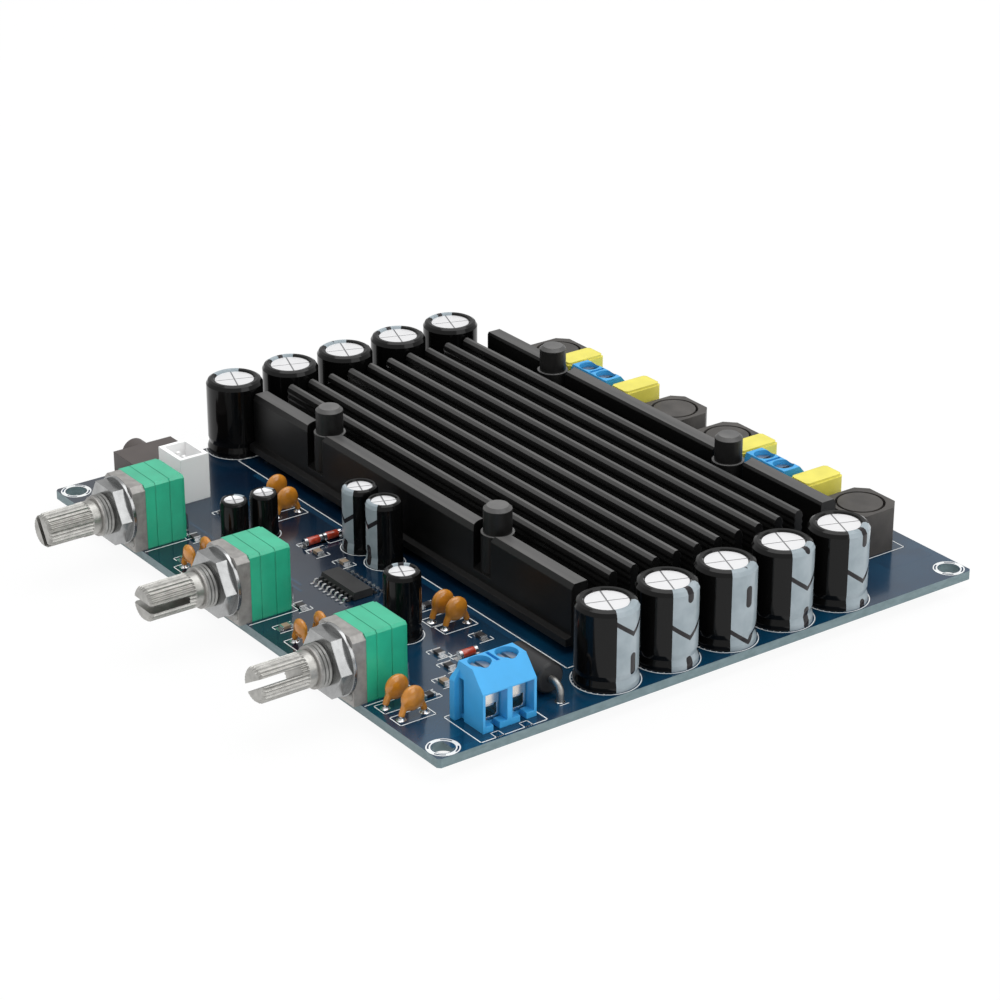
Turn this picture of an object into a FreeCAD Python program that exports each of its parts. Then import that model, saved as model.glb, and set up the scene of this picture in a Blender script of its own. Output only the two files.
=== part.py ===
import FreeCAD, Part
import math
import os
import Sketcher

os.makedirs("parts", exist_ok=True)

doc = FreeCAD.newDocument("AmplifierBoard")
sheet = doc.addObject("Spreadsheet::Sheet", "Sizes")

# Driving sizes in millimetres (angles in degrees, counts as plain numbers).
# The board lies flat: the potentiometers face -Y, the speaker terminals +Y,
# and the supply terminal +X. Height zero is the board's lower face and the
# origin is the middle of the corner-hole pattern.
SIZES = (
    # bare board
    ("board_thickness", 1.6),
    ("front_zone", 35.6),
    ("back_zone", 16.4),
    ("board_corner", 0.5),
    ("hole_inset", 2.75),
    ("hole_diameter", 3.6),
    # heatsink extrusion
    ("sink_length", 95.8),
    ("sink_width", 55.8),
    ("sink_height", 10.8),
    ("sink_base", 3.0),
    ("wall_thickness", 3.3),
    ("wall_lip", 0.5),
    ("ledge_reach", 1.1),
    ("ledge_thickness", 1.3),
    ("fin_count", 10),
    ("fin_pitch", 4.36),
    ("fin_thickness", 1.9),
    ("fin_tip", 0.45),
    ("rib_depth", 0.22),
    ("rib_pitch", 1.1),
    # posts and screws that clamp the heatsink to the board
    ("post_pitch_x", 50.8),
    ("post_middle_x", -5.4),
    ("post_pitch_y", 49.4),
    ("pocket_radius", 4.0),
    ("post_foot_radius", 2.85),
    ("post_foot_height", 7.0),
    ("post_radius", 2.45),
    ("post_height", 11.8),
    ("post_edge", 0.6),
    ("screw_radius", 1.5),
    ("screw_grip", 4.0),
    ("screw_head_radius", 2.8),
    ("screw_head_height", 2.2),
    ("screw_head_edge", 0.35),
    ("screw_socket", 2.5),
    ("screw_socket_depth", 1.3),
    ("thread_fit", 0.05),
    ("screw_clearance", 0.2),
    ("blind_clearance", 0.6),
    # chips
    ("amp_chip_length", 14.0),
    ("amp_chip_width", 6.2),
    ("amp_chip_height", 1.1),
    ("amp_chip_offset", 4.4),
    ("pad_thickness", 0.4),
    ("pad_margin", 0.6),
    ("preamp_chip_length", 9.9),
    ("preamp_chip_width", 3.9),
    ("preamp_chip_height", 1.5),
    ("preamp_chip_x", 3.5),
    ("preamp_chip_setback", 20.7),
    ("lead_pitch", 1.27),
    ("lead_count", 8),
    ("lead_width", 0.42),
    ("lead_reach", 1.05),
    ("lead_thickness", 0.22),
    # large electrolytics
    ("main_cap_radius", 5.2),
    ("main_cap_height", 14.0),
    ("main_cap_pitch", 12.05),
    ("main_cap_flare", 0.15),
    ("main_cap_row_shift", -4.3),
    ("near_row_inset", 5.85),
    ("near_row_gap", 4.4),
    ("far_row_inset", 3.0),
    ("far_row_gap", 0.25),
    # middle and small electrolytics
    ("mid_cap_radius", 3.15),
    ("mid_cap_height", 11.8),
    ("low_cap_radius", 2.5),
    ("low_cap_height", 8.0),
    # film capacitors and inductors in the output filters
    ("channel_pitch", 50.5),
    ("film_width", 4.8),
    ("film_length", 8.4),
    ("film_height", 10.0),
    ("film_edge", 0.45),
    ("film_gap", 1.9),
    ("inner_film_gap", 0.42),
    ("outer_film_gap", 1.82),
    ("coil_side", 10.2),
    ("coil_height", 8.0),
    ("coil_corner", 1.9),
    ("coil_drum_radius", 3.9),
    ("coil_gap", 0.45),
    ("coil_gap_depth", 1.2),
    ("coil_gap_back", 2.5),
    ("inner_coil_gap", 1.0),
    ("outer_coil_gap", 2.2),
    # screw terminals
    ("pole_pitch", 5.08),
    ("terminal_depth", 7.4),
    ("terminal_height", 10.0),
    ("terminal_front_height", 6.7),
    ("terminal_back_height", 7.2),
    ("terminal_back_slope", 1.0),
    ("terminal_front_slope", 2.8),
    ("window_width", 4.1),
    ("window_sill", 1.1),
    ("window_top", 6.5),
    ("cavity_back", 1.0),
    ("cavity_top", 8.2),
    ("cavity_bottom", 0.7),
    ("window_lintel", 1.8),
    ("foot_gap_width", 1.2),
    ("joining_rib_width", 1.3),
    ("joining_rib_reach", 1.0),
    ("joining_rib_height", 6.8),
    ("joining_rib_slope", 1.8),
    ("screw_well_radius", 1.85),
    ("screw_line", 3.0),
    ("clamp_head_radius", 1.75),
    ("clamp_head_height", 0.85),
    ("clamp_shank_radius", 1.25),
    ("clamp_shank_length", 3.6),
    ("clamp_slot_width", 0.6),
    ("clamp_slot_depth", 0.45),
    ("cage_width", 3.7),
    ("cage_front_gap", 0.2),
    ("cage_start", 1.4),
    ("cage_bottom", 0.95),
    ("cage_floor", 0.5),
    ("cage_side", 0.45),
    ("cage_opening", 2.1),
    ("cage_roof", 2.2),
    ("tab_thickness", 0.4),
    ("tab_width", 2.3),
    ("tab_drop", 0.1),
    ("top_groove_width", 0.6),
    ("top_groove_depth", 0.8),
    ("top_groove_length", 3.4),
    ("key_width", 1.2),
    ("key_depth", 0.5),
    ("supply_terminal_setback", 15.0),
    ("supply_terminal_front", 2.4),
    ("speaker_terminal_gap", 1.4),
    ("speaker_terminal_x", 22.1),
    # potentiometers
    ("pot_pitch", 33.9),
    ("pot_middle_x", 0.3),
    ("pot_overhang", 1.3),
    ("pot_width", 9.5),
    ("pot_height", 11.9),
    ("pot_frame_thickness", 2.5),
    ("pot_frame_corner", 0.9),
    ("pot_rear_depth", 7.8),
    ("pot_rear_step", 0.08),
    ("pot_seam", 0.12),
    ("shaft_height", 6.5),
    ("bush_radius", 3.5),
    ("bush_length", 5.0),
    ("shaft_radius", 3.0),
    ("shaft_neck_radius", 2.4),
    ("shaft_neck_gap", 0.2),
    ("shaft_reach", 15.0),
    ("shaft_fit", 0.05),
    ("shaft_edge", 0.5),
    ("shaft_slot_width", 1.3),
    ("shaft_slot_depth", 7.2),
    ("washer_radius", 6.0),
    ("washer_thickness", 0.6),
    ("nut_size", 10.0),
    ("nut_thickness", 2.2),
    # jack and wire connector at the far left
    ("jack_depth", 9.2),
    ("jack_width", 11.8),
    ("jack_height", 5.0),
    ("jack_edge_inset", 1.4),
    ("jack_setback", 17.3),
    ("jack_barrel_radius", 2.45),
    ("jack_barrel_length", 3.2),
    ("jack_bore_radius", 1.8),
    ("jack_bore_depth", 11.0),
    ("connector_length", 7.6),
    ("connector_width", 5.8),
    ("connector_height", 8.6),
    ("connector_wall", 0.8),
    ("connector_floor", 2.6),
    ("connector_gap", 0.8),
    ("connector_setback", 18.0),
    ("connector_pin", 0.64),
    ("connector_pin_pitch", 2.5),
    # power diode
    ("diode_radius", 2.6),
    ("diode_length", 9.5),
    ("diode_lead_radius", 0.6),
    ("diode_lift", 0.4),
    ("diode_inset", 11.1),
    ("diode_setback", 25.7),
    ("diode_bend", 1.5),
    # disc capacitors
    ("disc_radius", 2.15),
    ("disc_thickness", 2.1),
    ("disc_middle_height", 3.15),
    ("disc_foot_reach", 2.2),
    ("disc_foot_radius", 0.45),
    ("small_disc_radius", 1.7),
    ("small_disc_foot_reach", 1.9),
    # small surface parts
    ("chip_part_length", 2.0),
    ("chip_part_width", 1.25),
    ("chip_part_height", 0.55),
    ("glass_diode_length", 3.5),
    ("glass_diode_radius", 0.72),
)

for row, (alias, number) in enumerate(SIZES, start=1):
    sheet.set("A%d" % row, alias)
    sheet.set("B%d" % row, "%g" % number)
    sheet.setAlias("B%d" % row, alias)
doc.recompute()


class Term:
    """A size with its sheet expression, so geometry and binding agree."""

    def __init__(self, value, text):
        self.value = value
        self.text = text

    def __add__(self, other):
        other = term(other)
        return Term(self.value + other.value, "(%s + %s)" % (self.text, other.text))

    def __radd__(self, other):
        return term(other) + self

    def __sub__(self, other):
        other = term(other)
        return Term(self.value - other.value, "(%s - %s)" % (self.text, other.text))

    def __rsub__(self, other):
        return term(other) - self

    def __mul__(self, other):
        other = term(other)
        return Term(self.value * other.value, "(%s * %s)" % (self.text, other.text))

    def __rmul__(self, other):
        return term(other) * self

    def __truediv__(self, other):
        other = term(other)
        return Term(self.value / other.value, "(%s / %s)" % (self.text, other.text))

    def __neg__(self):
        return Term(-self.value, "(0 - %s)" % self.text)


def term(number):
    if isinstance(number, Term):
        return number
    return Term(float(number), "%.9g" % number if number >= 0 else "(0 - %.9g)" % -number)


def size(alias):
    return Term(float(sheet.get(alias)), "Sizes." + alias)


def bind(thing, path, amount):
    amount = term(amount)
    if "Sizes." in amount.text:
        thing.setExpression(path, amount.text)


def new_body(label, x=0, y=0, z=0, turn=0, axis=(0, 0, 1)):
    body = doc.addObject("PartDesign::Body", label)
    body.Label = label
    x, y, z, turn = term(x), term(y), term(z), term(turn)
    body.Placement = FreeCAD.Placement(
        FreeCAD.Vector(x.value, y.value, z.value),
        FreeCAD.Rotation(FreeCAD.Vector(*axis), turn.value))
    bind(body, "Placement.Base.x", x)
    bind(body, "Placement.Base.y", y)
    bind(body, "Placement.Base.z", z)
    return body


def new_sketch(body, plane, lift=0):
    sketch = body.newObject("Sketcher::SketchObject", body.Name + "_sketch")
    support = [f for f in body.Origin.OriginFeatures if f.Role == plane][0]
    sketch.AttachmentSupport = [(support, "")]
    sketch.MapMode = "FlatFace"
    lift = term(lift)
    sketch.AttachmentOffset = FreeCAD.Placement(
        FreeCAD.Vector(0, 0, lift.value), FreeCAD.Rotation())
    bind(sketch, "AttachmentOffset.Base.z", lift)
    return sketch


def add_polygon(sketch, points):
    points = [(term(a), term(b)) for a, b in points]
    first = sketch.GeometryCount
    count = len(points)
    for i in range(count):
        a = points[i]
        b = points[(i + 1) % count]
        sketch.addGeometry(Part.LineSegment(
            FreeCAD.Vector(a[0].value, a[1].value, 0),
            FreeCAD.Vector(b[0].value, b[1].value, 0)), False)
    for i in range(count):
        sketch.addConstraint(Sketcher.Constraint(
            "Coincident", first + i, 2, first + (i + 1) % count, 1))
    for i in range(count):
        for kind, amount in (("DistanceX", points[i][0]), ("DistanceY", points[i][1])):
            index = sketch.addConstraint(Sketcher.Constraint(
                kind, -1, 1, first + i, 1, amount.value))
            bind(sketch, "Constraints[%d]" % index, amount)


def add_box(sketch, low_a, high_a, low_b, high_b):
    add_polygon(sketch, [(low_a, low_b), (high_a, low_b), (high_a, high_b), (low_a, high_b)])


def add_clipped_box(sketch, half_a, low_b, high_b, clip):
    add_polygon(sketch, [
        (-half_a, low_b), (half_a, low_b), (half_a, high_b - clip),
        (half_a - clip, high_b), (clip - half_a, high_b), (-half_a, high_b - clip)])


def add_octagon(sketch, half_a, half_b, clip):
    add_polygon(sketch, [
        (clip - half_a, -half_b), (half_a - clip, -half_b), (half_a, clip - half_b),
        (half_a, half_b - clip), (half_a - clip, half_b), (clip - half_a, half_b),
        (-half_a, half_b - clip), (-half_a, clip - half_b)])


def add_hexagon(sketch, a, b, across):
    # flats face along the second axis
    half = term(across) / 2
    long = half / math.cos(math.pi / 6)
    add_polygon(sketch, [
        (a + long, b), (a + long / 2, b + half), (a - long / 2, b + half),
        (a - long, b), (a - long / 2, b - half), (a + long / 2, b - half)])


def add_circle(sketch, a, b, radius):
    a, b, radius = term(a), term(b), term(radius)
    index = sketch.addGeometry(Part.Circle(
        FreeCAD.Vector(a.value, b.value, 0), FreeCAD.Vector(0, 0, 1), radius.value), False)
    for kind, amount in (("DistanceX", a), ("DistanceY", b)):
        place = sketch.addConstraint(Sketcher.Constraint(
            kind, -1, 1, index, 3, amount.value))
        bind(sketch, "Constraints[%d]" % place, amount)
    place = sketch.addConstraint(Sketcher.Constraint("Radius", index, radius.value))
    bind(sketch, "Constraints[%d]" % place, radius)


def pad(body, sketch, length, back=False):
    doc.recompute()
    feature = body.newObject("PartDesign::Pad", body.Name + "_pad")
    feature.Profile = sketch
    length = term(length)
    feature.Length = length.value
    bind(feature, "Length", length)
    feature.Reversed = back
    sketch.Visibility = False
    doc.recompute()
    return feature


def pocket(body, sketch, depth, back=False):
    doc.recompute()
    before = body.Shape.Volume
    feature = body.newObject("PartDesign::Pocket", body.Name + "_pocket")
    feature.Profile = sketch
    depth = term(depth)
    feature.Length = depth.value
    bind(feature, "Length", depth)
    feature.Reversed = back
    sketch.Visibility = False
    doc.recompute()
    if body.Shape.Volume > before - 1e-6:
        raise RuntimeError("pocket removes nothing: " + feature.Name)
    return feature


def turn_around(body, sketch, axis="V_Axis"):
    doc.recompute()
    feature = body.newObject("PartDesign::Revolution", body.Name + "_turned")
    feature.Profile = sketch
    feature.ReferenceAxis = (sketch, [axis])
    feature.Angle = 360
    sketch.Visibility = False
    doc.recompute()
    return feature


def repeat(body, feature, sketch, axis, span, count):
    pattern = body.newObject("PartDesign::LinearPattern", body.Name + "_row")
    pattern.Originals = [feature]
    pattern.Direction = (sketch, [axis])
    span, count = term(span), term(count)
    pattern.Length = span.value
    bind(pattern, "Length", span)
    pattern.Occurrences = int(count.value)
    bind(pattern, "Occurrences", count)
    body.Tip = pattern
    doc.recompute()
    return pattern


nodes = []


def keep(thing):
    nodes.append(thing)
    return thing


def group(label, members):
    bundle = doc.addObject("Part::Compound", label)
    bundle.Label = label
    bundle.Links = members
    doc.recompute()
    return keep(bundle)


board_top = size("board_thickness")
# the board is as long as the heatsink and both capacitor rows need, and as
# deep as the heatsink with the control zone in front and the filters behind
can_foot = size("main_cap_radius") + size("main_cap_flare")
half_length = (size("near_row_inset") + can_foot + size("near_row_gap") + size("sink_length")
               + size("far_row_gap") + can_foot + size("far_row_inset")) / 2
sink_depth = size("sink_width") + size("ledge_reach") * 2
half_width = (size("front_zone") + sink_depth + size("back_zone")) / 2
front_y = -half_width
near_x = half_length - size("near_row_inset")
far_x = size("far_row_inset") - half_length
sink_x = far_x + can_foot + size("far_row_gap") + size("sink_length") / 2
sink_y = front_y + size("front_zone") + sink_depth / 2
sink_back = sink_y + sink_depth / 2
sink_lift = size("amp_chip_height") + size("pad_thickness")
post_places = [
    (size("post_middle_x") + size("post_pitch_x") * i, sink_y + size("post_pitch_y") * j)
    for i in (-0.5, 0.5) for j in (-0.5, 0.5)]

# bare board with its corner holes and the four clamp-screw holes
board = keep(new_body("circuit_board"))
sketch = new_sketch(board, "XY_Plane")
add_octagon(sketch, half_length, half_width, size("board_corner"))
pad(board, sketch, board_top)
sketch = new_sketch(board, "XY_Plane", board_top)
for i in (-1, 1):
    for j in (-1, 1):
        add_circle(sketch, (half_length - size("hole_inset")) * i,
                   (half_width - size("hole_inset")) * j, size("hole_diameter") / 2)
for place in post_places:
    add_circle(sketch, place[0], place[1], size("screw_radius") + size("screw_clearance"))
pocket(board, sketch, board_top)

# heatsink: one extruded profile with side walls, ledges and a row of ribbed fins
sink = keep(new_body(
    "heatsink", sink_x - size("sink_length") / 2, sink_y,
    board_top + sink_lift))
half = size("sink_width") / 2
inner = half - size("wall_thickness")
base = size("sink_base")
tall = size("sink_height")
reach = half + size("ledge_reach")
ledge = size("ledge_thickness")
lip = size("wall_lip")
sketch = new_sketch(sink, "YZ_Plane")
side = [(reach, 0), (reach, ledge), (half, ledge + lip / 2), (half, tall - lip * 2),
        (half - lip, tall), (inner + lip / 2, tall), (inner, tall - lip), (inner, base)]
add_polygon(sketch, side + [(-a, b) for a, b in reversed(side)])
pad(sink, sketch, size("sink_length"))
fin_first = size("fin_pitch") * (size("fin_count") - 1) / 2
edge = size("fin_thickness") / 2
valley = edge - size("rib_depth")
step = size("rib_pitch") / 2
flank = [(valley, base - 0.4), (valley, base + step)]
for rib in range(1, 12):
    flank.append((edge if rib % 2 else valley, base + step * (rib + 1)))
flank += [(valley, tall - size("fin_tip")), (valley - size("fin_tip"), tall)]
sketch = new_sketch(sink, "YZ_Plane")
add_polygon(sketch, [(a - fin_first, b) for a, b in flank]
            + [(-a - fin_first, b) for a, b in reversed(flank)])
fin = pad(sink, sketch, size("sink_length"))
repeat(sink, fin, sketch, "H_Axis", fin_first * 2, size("fin_count"))
sketch = new_sketch(sink, "XY_Plane", tall)
for place in post_places:
    add_circle(sketch, place[0] - sink_x + size("sink_length") / 2,
               place[1] - sink_y, size("pocket_radius"))
pocket(sink, sketch, tall - base)
sketch = new_sketch(sink, "XY_Plane", base)
for place in post_places:
    add_circle(sketch, place[0] - sink_x + size("sink_length") / 2,
               place[1] - sink_y, size("screw_radius") + size("screw_clearance"))
pocket(sink, sketch, base)

# stepped posts that stand in the pockets, threaded on the screws from below
grip = size("screw_grip")
posts = []
for number, place in enumerate(post_places, start=1):
    post = new_body("post_%d" % number, place[0], place[1], board_top + sink_lift + base)
    bore = size("screw_radius") + size("thread_fit")
    foot = size("post_foot_radius")
    stem = size("post_radius")
    sketch = new_sketch(post, "XZ_Plane")
    add_polygon(sketch, [
        (bore, 0), (foot, 0), (foot, size("post_foot_height")), (stem, size("post_foot_height")),
        (stem, size("post_height") - size("post_edge")),
        (stem - size("post_edge"), size("post_height")), (0, size("post_height")),
        (0, grip + size("blind_clearance")), (bore, grip + size("blind_clearance"))])
    turn_around(post, sketch)
    posts.append(post)
group("heatsink_posts", posts)

screws = []
for number, place in enumerate(post_places, start=1):
    screw = new_body("sink_screw_%d" % number, place[0], place[1], 0)
    head = size("screw_head_radius")
    drop = size("screw_head_height")
    edge = size("screw_head_edge")
    shank = size("screw_radius")
    reach_up = board_top + sink_lift + base + grip
    sketch = new_sketch(screw, "XZ_Plane")
    add_polygon(sketch, [
        (0, -drop), (head - edge, -drop), (head, edge - drop), (head, 0), (shank, 0),
        (shank, reach_up), (0, reach_up)])
    turn_around(screw, sketch)
    sketch = new_sketch(screw, "XY_Plane", -drop)
    add_hexagon(sketch, term(0), term(0), size("screw_socket"))
    pocket(screw, sketch, size("screw_socket_depth"), back=True)
    screws.append(screw)
group("heatsink_screws", screws)

# chips: two amplifiers under the heatsink and the preamp chip in the open
chips = []
pads = []
for number, place_x in enumerate((post_places[0][0], post_places[2][0]), start=1):
    chip = new_body("amp_chip_%d" % number, place_x, sink_y + size("amp_chip_offset"), board_top)
    sketch = new_sketch(chip, "XY_Plane")
    add_octagon(sketch, size("amp_chip_length") / 2, size("amp_chip_width") / 2, term(0.3))
    pad(chip, sketch, size("amp_chip_height"))
    sketch = new_sketch(chip, "XY_Plane")
    add_box(sketch, size("lead_width") - size("amp_chip_length") / 2,
            size("amp_chip_length") / 2 - size("lead_width"),
            -size("amp_chip_width") / 2 - size("lead_reach"),
            size("amp_chip_width") / 2 + size("lead_reach"))
    pad(chip, sketch, size("lead_thickness"))
    chips.append(chip)
    gap_pad = new_body("sink_pad_%d" % number, place_x, sink_y + size("amp_chip_offset"),
                       board_top + size("amp_chip_height"))
    sketch = new_sketch(gap_pad, "XY_Plane")
    half_a = size("amp_chip_length") / 2 - size("pad_margin")
    half_b = size("amp_chip_width") / 2 - size("pad_margin")
    add_box(sketch, -half_a, half_a, -half_b, half_b)
    pad(gap_pad, sketch, size("pad_thickness"))
    pads.append(gap_pad)
group("thermal_pads", pads)

preamp = new_body("preamp_chip", size("preamp_chip_x"), front_y + size("preamp_chip_setback"), board_top)
half_a = size("preamp_chip_length") / 2
half_b = size("preamp_chip_width") / 2
chip_top = size("preamp_chip_height")
belt = chip_top / 2
sketch = new_sketch(preamp, "YZ_Plane", -half_a)
add_polygon(sketch, [
    (0.12 - half_b, 0.1), (half_b - 0.12, 0.1), (half_b, belt), (half_b - 0.25, chip_top),
    (0.25 - half_b, chip_top), (-half_b, belt)])
pad(preamp, sketch, half_a * 2)
lead_row = size("lead_pitch") * (size("lead_count") - 1)
thick = size("lead_thickness")
lead_end = half_b + size("lead_reach")
knee = half_b + size("lead_reach") * 0.45
sketch = new_sketch(preamp, "YZ_Plane", -lead_row / 2 - size("lead_width") / 2)
for way in (1, -1):
    add_polygon(sketch, [(a * way, b) for a, b in (
        (half_b - 0.2, belt - thick / 2), (knee - thick, belt - thick / 2), (knee, 0),
        (lead_end, 0), (lead_end, thick), (knee + thick, thick),
        (knee, belt + thick / 2), (half_b - 0.2, belt + thick / 2))])
lead = pad(preamp, sketch, size("lead_width"))
lead_axis = [f for f in preamp.Origin.OriginFeatures if f.Role == "X_Axis"][0]
pattern = preamp.newObject("PartDesign::LinearPattern", "preamp_lead_row")
pattern.Originals = [lead]
pattern.Direction = (lead_axis, [""])
pattern.Length = lead_row.value
bind(pattern, "Length", lead_row)
pattern.Occurrences = int(size("lead_count").value)
bind(pattern, "Occurrences", size("lead_count"))
preamp.Tip = pattern
doc.recompute()
chips.append(preamp)
group("integrated_circuits", chips)


def can(label, x, y, radius, height):
    """Sleeved electrolytic: flared foot, waist, rolled rim, recessed end disc."""
    body = new_body(label, x, y, board_top)
    flare = size("main_cap_flare") * radius / size("main_cap_radius")
    sketch = new_sketch(body, "XZ_Plane")
    add_polygon(sketch, [
        (0, 0), (radius + flare, 0), (radius + flare, 0.9), (radius * 0.965, 1.9),
        (radius, 2.8), (radius, height - 0.9), (radius * 0.93, height - 0.25),
        (radius * 0.84, height), (radius * 0.74, height - 0.05), (radius * 0.7, height - 0.35),
        (0, height - 0.35)])
    turn_around(body, sketch)
    return body


row_first_y = sink_y + size("main_cap_row_shift") - size("main_cap_pitch") * 2
for number in range(10):
    row_x = near_x if number < 5 else far_x
    keep(can("main_capacitor_%02d" % (number + 1), row_x,
             row_first_y + size("main_cap_pitch") * (number % 5),
             size("main_cap_radius"), size("main_cap_height")))
for number, (x, setback) in enumerate(((23.2, 18.6), (-8.2, 31.3), (-0.9, 31.3)), start=1):
    keep(can("preamp_capacitor_%d" % number, x, front_y + setback,
             size("mid_cap_radius"), size("mid_cap_height")))
group("bypass_capacitors", [
    can("bypass_capacitor_%d" % number, x, front_y + setback,
        size("low_cap_radius"), size("low_cap_height"))
    for number, (x, setback) in enumerate(((-22.8, 15.0), (-22.4, 20.7)), start=1)])

# output filters: box film capacitors and shielded inductors
centre_x = size("speaker_terminal_x")
inner_film = centre_x - size("pole_pitch") - size("inner_film_gap") - size("film_width") / 2
outer_film = centre_x + size("pole_pitch") + size("outer_film_gap") + size("film_width") / 2
inner_coil = inner_film - size("film_width") / 2 - size("inner_coil_gap") - size("coil_side") / 2
outer_coil = outer_film + size("film_width") / 2 + size("outer_coil_gap") + size("coil_side") / 2
film_y = sink_back + size("film_gap") + size("film_length") / 2
coil_y = sink_back + size("coil_gap_back") + size("coil_side") / 2
film_places = [inner_film - size("channel_pitch"), outer_film - size("channel_pitch"),
               inner_film, outer_film]
for number, place_x in enumerate(film_places, start=1):
    film = keep(new_body("film_capacitor_%d" % number, place_x, film_y, board_top))
    half_a = size("film_width") / 2
    half_b = size("film_length") / 2
    edge = size("film_edge")
    sketch = new_sketch(film, "XY_Plane")
    add_octagon(sketch, half_a, half_b, edge)
    pad(film, sketch, size("film_height") - edge)
    sketch = new_sketch(film, "XY_Plane", size("film_height") - edge)
    add_octagon(sketch, half_a - edge / 2, half_b - edge / 2, edge)
    pad(film, sketch, edge)

coil_places = [inner_coil - size("channel_pitch"), outer_coil - size("channel_pitch"),
               inner_coil, outer_coil]
for number, place_x in enumerate(coil_places, start=1):
    coil = keep(new_body("inductor_%d" % number, place_x, coil_y, board_top))
    half = size("coil_side") / 2
    sketch = new_sketch(coil, "XY_Plane")
    add_octagon(sketch, half, half, size("coil_corner"))
    pad(coil, sketch, size("coil_height"))
    sketch = new_sketch(coil, "XY_Plane", size("coil_height"))
    add_circle(sketch, 0, 0, size("coil_drum_radius") + size("coil_gap"))
    add_circle(sketch, 0, 0, size("coil_drum_radius"))
    pocket(coil, sketch, size("coil_gap_depth"))


tabs = []
terminal_number = 0


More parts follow.
